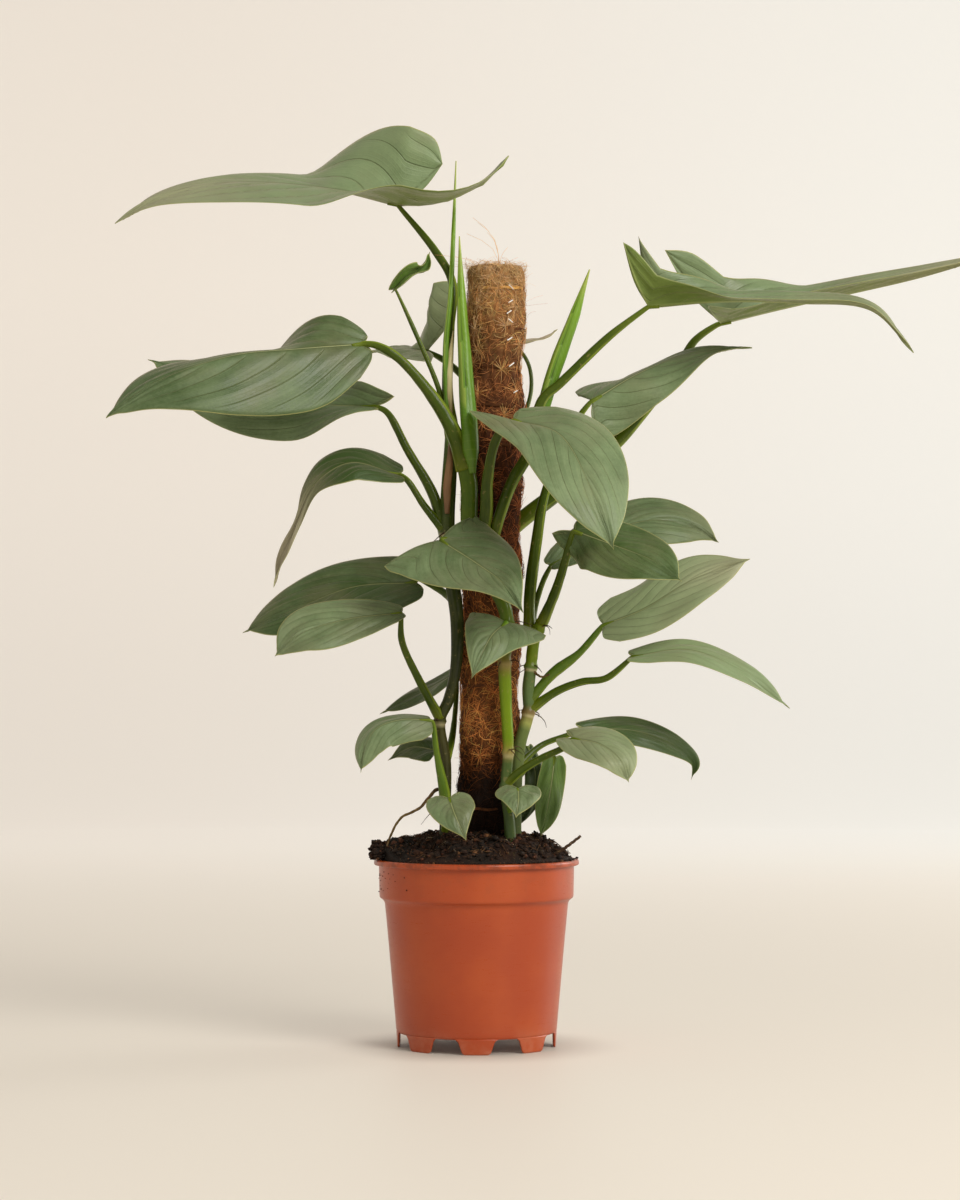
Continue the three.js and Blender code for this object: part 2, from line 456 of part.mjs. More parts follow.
// Blades: the spine runs from the joint to the tip, and face is the way the upper side looks at
// the joint and at the tip. Lobe, lift, fold and curl are each given for the left half, then for
// the right half, as seen along the spine with the upper side up.
const BLADES = {
  leaf_top_left: {
    spine: [[-65, -8, 697], [-121, -16, 709], [-203, -26, 712], [-259, -32, 700], [-296, -34, 677]],
    face: [[0, -0.4, 1], [0, -0.45, 1]], half: 66, shape: "arrow", lobe: [0.4, 0.12], lift: [70, 0],
    fold: [[14, 28, -6, -8], [70, 68, -2, -4]], curl: [[0, 0, -8, -8], [10, 10, -4, -8]], wave: 0, phase: 0,
  },
  leaf_young_curled: {
    spine: [[-67, -24, 625], [-57, -26, 634], [-45, -22, 642], [-38, -26, 655]],
    face: [[0.4, -0.7, 0.6], [0.5, -0.7, 0.4]], half: 9, shape: "long", lobe: [0.1, 0.1], lift: [0, 0],
    fold: KEEL, curl: FLAT, wave: 0, phase: 0,
  },
  leaf_behind_pole: {
    spine: [[-42, 74, 586], [-70, 80, 589], [-101, 84, 585]],
    face: [[0, -0.1, 1], [0, -0.1, 1]], half: 64, shape: "wide", lobe: [0.3, 0.6], lift: [0, 0],
    fold: [[-8, -8, -12, -6], [88, 88, 2, 0]], curl: FLAT, wave: 0, phase: 0,
  },
  leaf_behind_pole_right: {
    spine: [[20, 54, 588], [44, 58, 592], [60, 61, 596], [69, 63, 603]],
    face: [[0, -0.3, 1], [-0.3, -0.3, 1]], half: 8, shape: "long", lobe: [0.06, 0.06], lift: [0, 0],
    fold: SHALLOW, curl: FLAT, wave: 0, phase: 0,
  },
  leaf_upper_left: {
    spine: [[-93, -45, 577], [-142, -66, 571], [-198, -88, 562], [-259, -104, 537], [-293, -112, 510]],
    face: [[0.1, -0.6, 0.85], [0, -0.8, 0.7]], half: 55, shape: "taper", lobe: [0.03, 0.03], lift: [0, 0],
    fold: [[-30, -30, -30, -16], [30, 30, -34, -16]], curl: DROOP, wave: 1, phase: 0,
  },
  leaf_upper_left_rear: {
    spine: [[-87, -5, 530], [-147, 12, 536], [-215, 28, 555], [-277, 36, 574]],
    face: [[0, -0.7, 0.8], [0, -0.7, 0.8]], half: 40, shape: "paddle", lobe: [0.04, 0.1], lift: [0, 30],
    fold: [[20, 25, -25, -10], [40, 40, -25, -10]], curl: DROOP, wave: 1, phase: 1,
  },
  leaf_hanging: {
    spine: [[-65, -15, 473], [-104, -24, 482], [-134, -30, 462], [-147, -34, 430], [-160, -36, 401],
      [-166, -36, 379]],
    face: [[0.1, -0.5, 0.9], [-0.9, -0.5, 0]], half: 27, shape: "tail", lobe: [0.03, 0.03], lift: [0, 0],
    fold: SHALLOW, curl: DROOP, wave: 0, phase: 0,
  },
  leaf_mid_left: {
    spine: [[-51, 8, 385], [-103, 4, 381], [-147, 4, 364], [-195, 8, 343]],
    face: [[0, -0.8, 0.7], [0, -0.75, 0.75]], half: 33, shape: "blunt", lobe: [0.04, 0.04], lift: [0, 0],
    fold: SHALLOW, curl: DROOP, wave: 0, phase: 0,
  },
  leaf_mid_left_front: {
    spine: [[-61, -48, 358], [-106, -60, 352], [-142, -70, 340], [-162, -76, 322]],
    face: [[0, -0.7, 0.7], [-0.2, -0.9, 0.4]], half: 24, shape: "paddle", lobe: [0.02, 0.02], lift: [0, 0],
    fold: SHALLOW, curl: DROOP, wave: 0, phase: 0,
  },
  leaf_front_arrow: {
    spine: [[-29, -72, 416], [3, -100, 394], [22, -122, 378], [37, -136, 355]],
    face: [[-0.1, -0.56, 0.8], [-0.1, -0.7, 0.7]], half: 51, shape: "wide", lobe: [0.12, 0.12], lift: [0, 0],
    fold: FLAT, curl: DROOP, wave: 0, phase: 0,
  },
  leaf_front_small: {
    spine: [[24, -50, 350], [11, -76, 337], [-4, -90, 304]],
    face: [[0.06, -0.6, 0.8], [0.1, -0.9, 0.4]], half: 34, shape: "wide", lobe: [0.14, 0.14], lift: [0, 0],
    fold: FLAT, curl: DROOP, wave: 0, phase: 0,
  },
  leaf_front_large: {
    spine: [[30, -66, 513], [67, -106, 497], [92, -140, 446], [107, -150, 404]],
    face: [[0, -0.4, 0.9], [0.3, -0.9, 0.4]], half: 40, shape: "blunt", lobe: [0.05, 0.24], lift: [0, 0],
    fold: [[20, 20, 10, 4], [12, 12, 6, 4]], curl: DROOP, wave: 0, phase: 0,
  },
  leaf_upper_right: {
    spine: [[96, -8, 535], [136, -2, 559], [186, 6, 578], [230, 12, 581]],
    face: [[0, -0.5, 0.9], [0, -0.4, 0.9]], half: 36, shape: "arrow", lobe: [0.03, 0.08], lift: [0, 0],
    fold: [[0, 0, -20, -10], [-46, -46, -28, 16]], curl: DROOP, wave: 0, phase: 0,
  },
  leaf_top_right: {
    spine: [[141, -30, 610], [199, -42, 613], [263, -52, 607], [315, -58, 596], [354, -60, 568]],
    face: [[0, -0.2, 1], [0, -0.3, 1]], half: 38, shape: "arrow", lobe: [0.42, 0.28], lift: [212, 150],
    fold: [[10, 10, -4, 0], [20, 8, -4, 0]], curl: DROOP, wave: 0, phase: 0,
  },
  leaf_top_right_rear: {
    spine: [[206, 38, 605], [256, 32, 618], [310, 24, 632], [372, 14, 648], [436, 4, 665]],
    face: [[0, -0.3, 1], [0, -0.3, 1]], half: 38, shape: "arrow", lobe: [0.43, 0.04], lift: [150, 0],
    fold: [[20, 20, 4, 0], [14, 14, 10, 4]], curl: FLAT, wave: 0, phase: 0,
  },
  leaf_mid_right: {
    spine: [[79, -62, 424], [110, -84, 411], [140, -98, 398], [163, -106, 381]],
    face: [[0, -0.7, 0.7], [0, -0.7, 0.7]], half: 29, shape: "blunt", lobe: [0.05, 0.2], lift: [0, 0],
    fold: [[10, 10, 8, 4], [-60, -60, -8, 2]], curl: DROOP, wave: 0, phase: 0,
  },
  leaf_mid_right_rear: {
    spine: [[62, -8, 399], [100, 4, 422], [145, 14, 437], [182, 20, 432], [203, 22, 419]],
    face: [[-0.3, -0.8, 0.6], [0, -0.8, 0.6]], half: 27, shape: "paddle", lobe: [0.02, 0.02], lift: [0, 0],
    fold: SHALLOW, curl: DROOP, wave: 0, phase: 0,
  },
  leaf_right_wide: {
    spine: [[105, -14, 349], [138, -22, 362], [178, -26, 386], [225, -24, 403]],
    face: [[-0.4, -0.85, 0.5], [-0.3, -0.85, 0.5]], half: 26, shape: "blunt", lobe: [0.02, 0.02], lift: [0, 0],
    fold: SHALLOW, curl: DROOP, wave: 0, phase: 0,
  },
  leaf_right_long: {
    spine: [[129, -16, 323], [175, -26, 328], [220, -34, 309], [256, -38, 280]],
    face: [[0, -0.5, 0.8], [0.2, -0.6, 0.8]], half: 17, shape: "long", lobe: [0.03, 0.03], lift: [0, 0],
    fold: SHALLOW, curl: DROOP, wave: 0, phase: 0,
  },
  leaf_low_right: {
    spine: [[78, -51, 256], [100, -70, 251], [115, -84, 239], [122, -86, 221]],
    face: [[0, -0.7, 0.8], [0.3, -0.85, 0.5]], half: 22, shape: "blunt", lobe: [0.16, 0.16], lift: [0, 0],
    fold: SHALLOW, curl: DROOP, wave: 0, phase: 0,
  },
  leaf_low_right_rear: {
    spine: [[88, 0, 263], [134, 14, 261], [168, 22, 248], [183, 24, 234], [180, 24, 220]],
    face: [[0, -0.6, 0.8], [0.5, -0.7, 0.3]], half: 16, shape: "long", lobe: [0.04, 0.04], lift: [0, 0],
    fold: SHALLOW, curl: DROOP, wave: 0, phase: 0,
  },
  leaf_low_hanging: {
    spine: [[65, 6, 239], [62, 2, 216], [58, -2, 194], [53, -4, 173]],
    face: [[0.3, -0.9, 0.2], [0.3, -0.9, 0.1]], half: 12, shape: "blunt", lobe: [0.04, 0.04], lift: [0, 0],
    fold: SHALLOW, curl: DROOP, wave: 0, phase: 0,
  },
  leaf_low_front: {
    spine: [[34, -48, 215], [34, -62, 206], [32, -68, 192]],
    face: [[0, -0.6, 0.8], [0, -1, 0.2]], half: 19, shape: "heart", lobe: [0.2, 0.2], lift: [0, 0],
    fold: FLAT, curl: DROOP, wave: 0, phase: 0,
  },
  leaf_low_centre: {
    spine: [[-22, -52, 207], [-17, -70, 194], [-8, -76, 174]],
    face: [[0, -0.7, 0.7], [0, -1, 0.2]], half: 20, shape: "heart", lobe: [0.16, 0.16], lift: [0, 0],
    fold: FLAT, curl: DROOP, wave: 0, phase: 0,
  },
  leaf_low_left: {
    spine: [[-38, -39, 271], [-62, -46, 271], [-81, -50, 264], [-90, -52, 250], [-94, -54, 228]],
    face: [[0, -0.6, 0.8], [-0.6, -0.7, 0.3]], half: 20, shape: "blunt", lobe: [0.02, 0.02], lift: [0, 0],
    fold: [[-30, -30, -30, -10], [-20, -20, -20, -10]], curl: DROOP, wave: 0, phase: 0,
  },
  leaf_low_left_rear: {
    spine: [[-34, 22, 245], [-55, 34, 247], [-75, 40, 236]],
    face: [[0, -0.7, 0.7], [0, -0.7, 0.7]], half: 16, shape: "heart", lobe: [0.04, 0.04], lift: [0, 0],
    fold: SHALLOW, curl: DROOP, wave: 0, phase: 0,
  },
  leaf_left_behind_stem: {
    spine: [[-16, 26, 310], [-43, 36, 295], [-82, 42, 275]],
    face: [[0, -0.5, 0.85], [0, -0.5, 0.85]], half: 15, shape: "long", lobe: [0.04, 0.04], lift: [0, 0],
    fold: SHALLOW, curl: DROOP, wave: 0, phase: 0,
  },
  leaf_low_strip: {
    spine: [[43, 23, 247], [49, 16, 225], [45, 10, 201], [34, 6, 181]],
    face: [[0.2, -0.6, 0.6], [0.4, -0.9, 0.1]], half: 9, shape: "long", lobe: [0.04, 0.04], lift: [0, 0],
    fold: SHALLOW, curl: DROOP, wave: 0, phase: 0,
  },
};

// Young leaves still rolled up, each standing in the sheath of the newest petiole.
const ROLLED_LEAVES = {
  rolled_leaf_left: {
    points: [[-23, -24, 505], [-25, -28, 575], [-21, -27, 622], [-19, -14, 672], [-17, -2, 734]],
    radii: [2.6, 2.6, 2.2, 1.8, 0.5], sides: 6, steps: 8,
  },
  rolled_leaf_front: {
    points: [[-4, -42, 486], [-7, -36, 532], [-12, -32, 614], [-14, -30, 667]],
    radii: [5.4, 5.4, 4.6, 3.4, 0.5], sides: 7, steps: 8,
  },
  rolled_leaf_right: {
    points: [[51, -23, 512], [64, -21, 557], [79, -21, 598], [93, -22, 641]],
    radii: [4, 5.6, 5.8, 4.4, 0.6], sides: 7, steps: 8,
  },
};

const AERIAL_ROOTS = {
  aerial_root_left: {
    points: [[-27, -18, 214], [-33, -20, 213], [-47, -22, 198], [-62, -22, 190], [-69, -22, 179],
      [-74, -22, 166]],
    radii: [1.6, 1.2, 1, 0.9], sides: 5, steps: 9,
  },
  aerial_root_right: {
    points: [[45, -13, 314], [50, -18, 308], [54, -20, 306], [60, -22, 308]],
    radii: [1.2, 0.9, 0.8], sides: 5, steps: 5,
  },
};

const TWIG = {
  points: [[62, -34, 160], [72, -38, 166], [85, -42, 176]],
  radii: [1.5, 1.3, 1.1], sides: 5, steps: 4,
};

// A node on a stem: a short thicker ring round it.
function nodeRing(stem, height) {
  const samples = smoothCurve(STEMS[stem].line).getSpacedPoints(200);
  const at = samples.findIndex((p) => p.z >= height);
  const along = samples[at + 1].clone().sub(samples[at - 1]).normalize();
  const widest = Math.max(...STEMS[stem].radii);
  const ends = [-3, 0, 3].map((step) => samples[at].clone().addScaledVector(along, step).toArray());
  return { points: ends, radii: [widest * 0.8, widest * 1.12, widest * 0.8], sides: 6, steps: 2 };
}

const group = new THREE.Group();

function addPiece(name, solid, material) {
  const mesh = new THREE.Mesh(toGeometry(solid), material);
  mesh.name = name;
  group.add(mesh);
}

// Each stem with its node rings and petioles is one body. swollen holds the same tubes grown by
// the gap, for cutting clear whatever lies against them.
const swollen = [];
for (const [name, stem] of Object.entries(STEMS)) {
  const tubes = [{ points: stem.line, radii: stem.radii, sides: 7, steps: 12 }];
  stem.nodes.forEach((height) => tubes.push(nodeRing(name, height)));
  Object.values(PETIOLES).filter((petiole) => petiole.stem === name).forEach((petiole) => {
    const steps = 1 + petiole.line.length;
    tubes.push({ points: petiole.line, radii: petiole.radii, sides: 5, steps });
  });
  addPiece(name, largest(join(tubes.map((shape) => tube(shape)))), STEM_GREEN);
  swollen.push(join(tubes.map((shape) => tube(shape, GAP))));
}
const stemSpace = join(swollen);

for (const [name, leaf] of Object.entries(BLADES)) {
  const large = leaf.half > 25;
  const surface = bladeSurface(leaf, 3, large ? 8 : 7, large ? 3 : 2);
  addPiece(name, without(toSolid(thicken(surface, BLADE_THICKNESS)), [stemSpace]), BLADE_GREEN);
}

for (const [name, shape] of Object.entries(ROLLED_LEAVES)) {
  addPiece(name, without(tube(shape), [stemSpace]), ROLLED_GREEN);
}

for (const [name, shape] of Object.entries(AERIAL_ROOTS)) {
  addPiece(name, without(tube(shape), [stemSpace]), ROOT_BROWN);
}

// The coir pole: lumpy by a formula, with bulges between its lashings and a bore for the stake.
function poleRadius(angle, height) {
  const bulge = 1.2 * Math.cos((height / 33) * Math.PI);
  const lumps = 0.9 * Math.sin(3 * angle + height / 19) + 0.6 * Math.sin(5 * angle - height / 11);
  return POLE_RADIUS + bulge + lumps;
}

function poleShape() {
  const foot = new THREE.Vector3(...POLE_FOOT);
  const top = new THREE.Vector3(...POLE_TOP);
  const vertices = [];
  const triangles = [];
  for (let step = 0; step <= POLE_STEPS; step += 1) {
    const centre = foot.clone().lerp(top, step / POLE_STEPS);
    const rounding = step === POLE_STEPS ? 0.86 : 1;
    for (let side = 0; side < POLE_SIDES; side += 1) {
      const angle = (side / POLE_SIDES) * 2 * Math.PI;
      const radius = poleRadius(angle, centre.z) * rounding;
      vertices.push([centre.x + radius * Math.cos(angle), centre.y + radius * Math.sin(angle), centre.z]);
    }
  }
  for (let step = 0; step < POLE_STEPS; step += 1) {
    for (let side = 0; side < POLE_SIDES; side += 1) {
      const a = step * POLE_SIDES + side;
      const b = step * POLE_SIDES + ((side + 1) % POLE_SIDES);
      triangles.push([a, b, b + POLE_SIDES], [a, b + POLE_SIDES, a + POLE_SIDES]);
    }
  }
  const last = POLE_STEPS * POLE_SIDES;
  for (let side = 1; side < POLE_SIDES - 1; side += 1) {
    triangles.push([0, side + 1, side], [last, last + side, last + side + 1]);
  }
  return toSolid(indexedGeometry(vertices, triangles));
}

// A point on the pole's axis at a height.
function poleAxis(height) {
  const share = (height - POLE_FOOT[2]) / (POLE_TOP[2] - POLE_FOOT[2]);
  return [THREE.MathUtils.lerp(POLE_FOOT[0], POLE_TOP[0], share), 0, height];
}

function stakeShape(radius, bottom, top) {
  return tube({ points: [poleAxis(bottom), poleAxis(top)], radii: [radius, radius], sides: 12, steps: 1 });
}
const stake = stakeShape(STAKE_RADIUS, STAKE_BOTTOM, STAKE_TOP);
const stakeSpace = stakeShape(STAKE_RADIUS + GAP, STAKE_BOTTOM - GAP, STAKE_TOP + GAP);
const pole = without(poleShape(), [stakeSpace, stemSpace]);
addPiece("coir_pole", pole, COIR);
addPiece("pole_stake", stake, STAKE_WOOD);

// The pot: a turned shell, feet cut from its skirt, and drain holes in its base.
function bodyRadius(height) {
  const share = (height - BASE_UNDERSIDE) / (BAND_BOTTOM - BASE_UNDERSIDE);
  return THREE.MathUtils.lerp(BODY_FOOT_RADIUS, BODY_TOP_RADIUS, share);
}

function turned(profile, sides) {
  const lathe = new THREE.LatheGeometry(profile.map(([r, z]) => new THREE.Vector2(r, z)), sides);
  lathe.rotateX(Math.PI / 2);
  return toSolid(lathe);
}

function potShape() {
  const floor = BASE_UNDERSIDE + BASE_THICKNESS;
  const outside = [
    [0, BASE_UNDERSIDE],
    [BODY_FOOT_RADIUS - WALL, BASE_UNDERSIDE],
    [BODY_FOOT_RADIUS - WALL - 0.5, 0],
    [BODY_FOOT_RADIUS - 0.8, 0],
    [BODY_FOOT_RADIUS, BASE_UNDERSIDE],
    [BODY_TOP_RADIUS, BAND_BOTTOM - 3],
    [BAND_RADIUS - 0.6, BAND_BOTTOM],
    [BAND_RADIUS, LIP_TOP - LIP_HEIGHT],
    [LIP_RADIUS, LIP_TOP - LIP_HEIGHT],
    [LIP_RADIUS, LIP_TOP - 1],
    [LIP_RADIUS - 1, LIP_TOP],
  ];
  const inside = [
    [BAND_RADIUS - WALL, LIP_TOP],
    [BAND_RADIUS - WALL - 0.6, BAND_BOTTOM + 1],
    [BODY_TOP_RADIUS - WALL, BAND_BOTTOM - 3],
    [bodyRadius(floor) - WALL, floor],
    [0, floor],
  ];
  const shell = turned([...outside, ...inside], POT_SIDES);
  const cuts = [];
  const gap = new THREE.Shape();
  gap.moveTo(-FOOT_GAP_BOTTOM / 2, -1);
  gap.lineTo(FOOT_GAP_BOTTOM / 2, -1);
  gap.lineTo(FOOT_GAP_TOP / 2, BASE_UNDERSIDE - 0.6);
  gap.lineTo(-FOOT_GAP_TOP / 2, BASE_UNDERSIDE - 0.6);
  for (let foot = 0; foot < FOOT_COUNT; foot += 1) {
    const turn = ((foot + 0.5) / FOOT_COUNT) * 2 * Math.PI;
    const notch = new THREE.ExtrudeGeometry(gap, { depth: 30, bevelEnabled: false, curveSegments: 1 });
    notch.rotateX(Math.PI / 2);
    notch.translate(0, -50, 0);
    notch.rotateZ(turn);
    cuts.push(toSolid(notch));
    const drain = new THREE.CylinderGeometry(DRAIN_RADIUS, DRAIN_RADIUS, 3 * BASE_THICKNESS, 8);
    drain.rotateX(Math.PI / 2);
    drain.translate(0, -DRAIN_CIRCLE, BASE_UNDERSIDE + BASE_THICKNESS / 2);
    drain.rotateZ(turn);
    cuts.push(toSolid(drain));
  }
  return without(shell, cuts);
}
addPiece("pot", potShape(), POT_PLASTIC);

// The soil: fills the pot, rises in a rough mound and spills over the rim at the left.
function soilHeight(radius, angle) {
  const x = radius * Math.cos(angle);
  const y = radius * Math.sin(angle);
  const mound = SOIL_MOUND * (1 - (radius / 80) ** 3);
  const spill = 9 * Math.exp(-(((x + 74) / 16) ** 2) - ((y + 14) / 26) ** 2);
  const rough = 1.6 * Math.sin(x / 7 + 1) * Math.cos(y / 6) + 1.1 * Math.sin(x / 3.7 + y / 4.9);
  return SOIL_EDGE_HEIGHT + mound + spill + rough * Math.min(1, (82 - radius) / 14);
}

function soilShape() {
  const floor = BASE_UNDERSIDE + BASE_THICKNESS + GAP;
  const wall = [
    [bodyRadius(floor) - WALL - GAP, floor],
    [BODY_TOP_RADIUS - WALL - GAP, BAND_BOTTOM - 3],
    [BAND_RADIUS - WALL - 0.6 - GAP, BAND_BOTTOM + 2],
    [BAND_RADIUS - WALL - GAP - 0.2, SOIL_EDGE_HEIGHT - 3],
  ];
  const vertices = [[0, 0, floor]];
  const triangles = [];
  const ring = (heightAt) => {
    for (let sector = 0; sector < SOIL_SECTORS; sector += 1) {
      vertices.push(heightAt((sector / SOIL_SECTORS) * 2 * Math.PI));
    }
  };
  wall.forEach(([r, z]) => ring((angle) => [r * Math.cos(angle), r * Math.sin(angle), z]));
  for (let inward = 0; inward < SOIL_RINGS; inward += 1) {
    const r = (BAND_RADIUS - WALL - GAP - 0.4) * (1 - inward / SOIL_RINGS);
    ring((angle) => [r * Math.cos(angle), r * Math.sin(angle), soilHeight(r, angle)]);
  }
  vertices.push([0, 0, soilHeight(0, 0)]);
  const rings = wall.length + SOIL_RINGS;
  const top = vertices.length - 1;
  for (let sector = 0; sector < SOIL_SECTORS; sector += 1) {
    const next = (sector + 1) % SOIL_SECTORS;
    triangles.push([0, 1 + next, 1 + sector]);
    for (let level = 0; level < rings - 1; level += 1) {
      const a = 1 + level * SOIL_SECTORS + sector;
      const b = 1 + level * SOIL_SECTORS + next;
      triangles.push([a, b, b + SOIL_SECTORS], [a, b + SOIL_SECTORS, a + SOIL_SECTORS]);
    }
    const last = 1 + (rings - 1) * SOIL_SECTORS;
    triangles.push([last + sector, last + next, top]);
  }
  return toSolid(indexedGeometry(vertices, triangles));
}

// Crumbs of peat, half sunk in the surface, from a fixed random sequence.
function seededRandom(seed) {
  let state = seed;
  return () => {
    state = (state * 16807) % 2147483647;
    return state / 2147483647;
  };
}

function crumb(x, y, z, size, turn) {
  const lump = new THREE.OctahedronGeometry(size * 1.15, 0);
  lump.scale(1, 0.85, 0.75);
  lump.rotateX(turn);
  lump.rotateZ(turn * 2);
  lump.translate(x, y, z);
  return toSolid(lump);
}

function crumbs() {
  const random = seededRandom(7);
  const lumps = [];
  for (let count = 0; count < CRUMB_COUNT; count += 1) {
    const radius = 76 * Math.sqrt(random());
    const angle = 2 * Math.PI * random();
    const size = 2 + 3 * random();
    const height = soilHeight(radius, angle) + 0.2 * size;
    lumps.push(crumb(radius * Math.cos(angle), radius * Math.sin(angle), height, size, 6 * random()));
  }
  return lumps;
}

// The clump that lies over the rim at the left.
const SPILL_CRUMBS = [[-78, -16, 161, 8], [-84, -12, 160.5, 7], [-80, -24, 160, 6], [-79, -2, 161, 7],
  [-86, -20, 159, 5], [-75, -8, 167, 6], [-82, -14, 166, 5]];
const spill = SPILL_CRUMBS.map(([x, y, z, size], i) => crumb(x, y, z, size, i));
const lipSpace = turned([
  [BAND_RADIUS - WALL - 0.6 - GAP, LIP_TOP - 12],
  [LIP_RADIUS + 8, LIP_TOP - 12],
  [LIP_RADIUS + 8, LIP_TOP - LIP_HEIGHT],
  [LIP_RADIUS + GAP, LIP_TOP - LIP_HEIGHT],
  [LIP_RADIUS + GAP, LIP_TOP + GAP],
  [BAND_RADIUS - WALL - GAP, LIP_TOP + GAP],
  [BAND_RADIUS - WALL - 0.6 - GAP, LIP_TOP - 12],
], POT_SIDES);
const poleSpace = tube({
  points: [poleAxis(POLE_FOOT[2] - GAP), poleAxis(220)],
  radii: [POLE_RADIUS + 3.6, POLE_RADIUS + 3.6], sides: POLE_SIDES, steps: 1,
});
const soilBody = join([soilShape(), ...crumbs(), ...spill]);
addPiece("soil", without(soilBody, [lipSpace, poleSpace, stakeSpace, stemSpace, tube(TWIG, GAP)]), SOIL);
addPiece("twig", tube(TWIG), ROOT_BROWN);

// The origin is under the middle of the plant's box, on the floor.
const box = new THREE.Box3().setFromObject(group);
group.position.set(-(box.min.x + box.max.x) / 2, -(box.min.y + box.max.y) / 2, -box.min.z);

export default group;
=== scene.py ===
"""The looks of a potted climbing aroid: blades, stems, coir pole, soil and pot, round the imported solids."""
import math

import bpy
import numpy as np
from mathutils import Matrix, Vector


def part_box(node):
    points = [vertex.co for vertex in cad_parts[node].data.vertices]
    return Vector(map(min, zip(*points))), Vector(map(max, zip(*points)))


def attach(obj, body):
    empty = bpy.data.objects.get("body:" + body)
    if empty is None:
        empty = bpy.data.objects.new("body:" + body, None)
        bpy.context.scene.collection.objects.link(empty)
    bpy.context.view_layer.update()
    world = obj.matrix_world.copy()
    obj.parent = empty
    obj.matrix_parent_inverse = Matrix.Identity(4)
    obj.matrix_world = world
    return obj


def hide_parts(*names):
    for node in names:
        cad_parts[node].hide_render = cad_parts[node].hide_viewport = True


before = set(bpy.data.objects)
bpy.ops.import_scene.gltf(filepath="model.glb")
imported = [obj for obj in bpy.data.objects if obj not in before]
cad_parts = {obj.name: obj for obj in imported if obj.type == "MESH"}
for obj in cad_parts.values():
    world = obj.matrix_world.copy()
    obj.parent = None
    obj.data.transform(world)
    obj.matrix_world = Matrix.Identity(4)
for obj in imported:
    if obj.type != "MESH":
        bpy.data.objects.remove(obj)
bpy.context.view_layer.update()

# Lengths in the tables are millimetres from the pot's axis and the floor, as in the solids.
MM = 0.001
POT_LOW, POT_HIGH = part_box("pot")
POT_AXIS = np.array([(POT_LOW.x + POT_HIGH.x) / 2, (POT_LOW.y + POT_HIGH.y) / 2, 0.0])


def colour(red, green, blue):
    """A colour read off a screen, from 0 to 255, as the linear colour that a shader takes."""
    channels = [c / 255 for c in (red, green, blue)]
    return tuple(c / 12.92 if c < 0.04 else ((c + 0.055) / 1.055) ** 2.4 for c in channels) + (1.0,)


class Wire:
    """One output of a material's node. Sums on wires add Math nodes."""

    def __init__(self, finish, socket):
        self.finish = finish
        self.socket = socket

    def __add__(self, other):
        return self.finish.math("ADD", self, other)

    def __sub__(self, other):
        return self.finish.math("SUBTRACT", self, other)

    def __rsub__(self, other):
        return self.finish.math("SUBTRACT", other, self)

    def __mul__(self, other):
        return self.finish.math("MULTIPLY", self, other)

    __radd__ = __add__
    __rmul__ = __mul__


class Finish:
    """A material, with short calls for the nodes that feed its shader."""

    def __init__(self, name, constants):
        self.material = bpy.data.materials.new(name)
        self.material.use_nodes = True
        self.tree = self.material.node_tree
        self.shader = self.tree.nodes["Principled BSDF"]
        for socket, value in constants.items():
            self.shader.inputs[socket].default_value = value

    def node(self, kind, settings=None, sockets=None, output=0):
        """Adds any node: its settings first, then the values or wires of its sockets."""
        node = self.tree.nodes.new(kind)
        for key, value in (settings or {}).items():
            setattr(node, key, value)
        for key, value in (sockets or {}).items():
            self.feed(node.inputs[key], value)
        return Wire(self, node.outputs[output])

    def feed(self, socket, value):
        """Sets a socket, or links a wire to it."""
        if isinstance(value, Wire):
            self.tree.links.new(value.socket, socket)
        else:
            socket.default_value = value

    def set(self, socket, value):
        """Sets or links one of the shader's own sockets."""
        self.feed(self.shader.inputs[socket], value)

    def value(self, name):
        """A number stored on the mesh's points."""
        return self.node("ShaderNodeAttribute", {"attribute_name": name}, output="Fac")

    def tint(self, name):
        """A colour stored on the mesh's points."""
        return self.node("ShaderNodeAttribute", {"attribute_name": name}, output="Color")

    def place(self, stretch=(1.0, 1.0, 1.0)):
        """The point's place on the object in metres, stretched for a pattern that is longer one way."""
        where = self.node("ShaderNodeTexCoord", output="Object")
        return self.node("ShaderNodeVectorMath", {"operation": "MULTIPLY"}, {0: where, 1: stretch})

    def flat(self, first, second):
        """A place made of two numbers, for textures that follow a surface's own directions."""
        return self.node("ShaderNodeCombineXYZ", None, {0: first, 1: second})

    def noise(self, scale, detail=3.0, rough=0.55, vector=None):
        """Noise from 0 to 1 in space, or over a flat place where one is given."""
        sockets = {"Vector": vector or self.place(), "Scale": scale, "Detail": detail, "Roughness": rough}
        return self.node("ShaderNodeTexNoise", None, sockets)

    def smooth(self, value, low, high, to=(0.0, 1.0)):
        """Eases from the first to the second of `to` as value goes from low to high."""
        settings = {"interpolation_type": "SMOOTHSTEP"}
        sockets = {"Value": value, "From Min": low, "From Max": high, "To Min": to[0], "To Max": to[1]}
        return self.node("ShaderNodeMapRange", settings, sockets)

    def mix(self, factor, first, second, blend="MIX"):
        settings = {"data_type": "RGBA", "blend_type": blend}
        return self.node("ShaderNodeMix", settings, {0: factor, 6: first, 7: second}, output=2)

    def math(self, operation, first, second=0.0):
        return self.node("ShaderNodeMath", {"operation": operation}, {0: first, 1: second})

    def bump(self, height, distance, strength=1.0):
        sockets = {"Height": height, "Distance": distance, "Strength": strength}
        self.set("Normal", self.node("ShaderNodeBump", None, sockets))


# Lines and meshes

SPAN_STEPS = 40


def eased(share):
    """A share from 0 to 1 that starts and stops softly."""
    share = np.clip(share, 0.0, 1.0)
    return share * share * (3.0 - 2.0 * share)


def unit(vectors):
    """Vectors made one long."""
    return vectors / np.maximum(np.linalg.norm(vectors, axis=-1, keepdims=True), 1e-12)


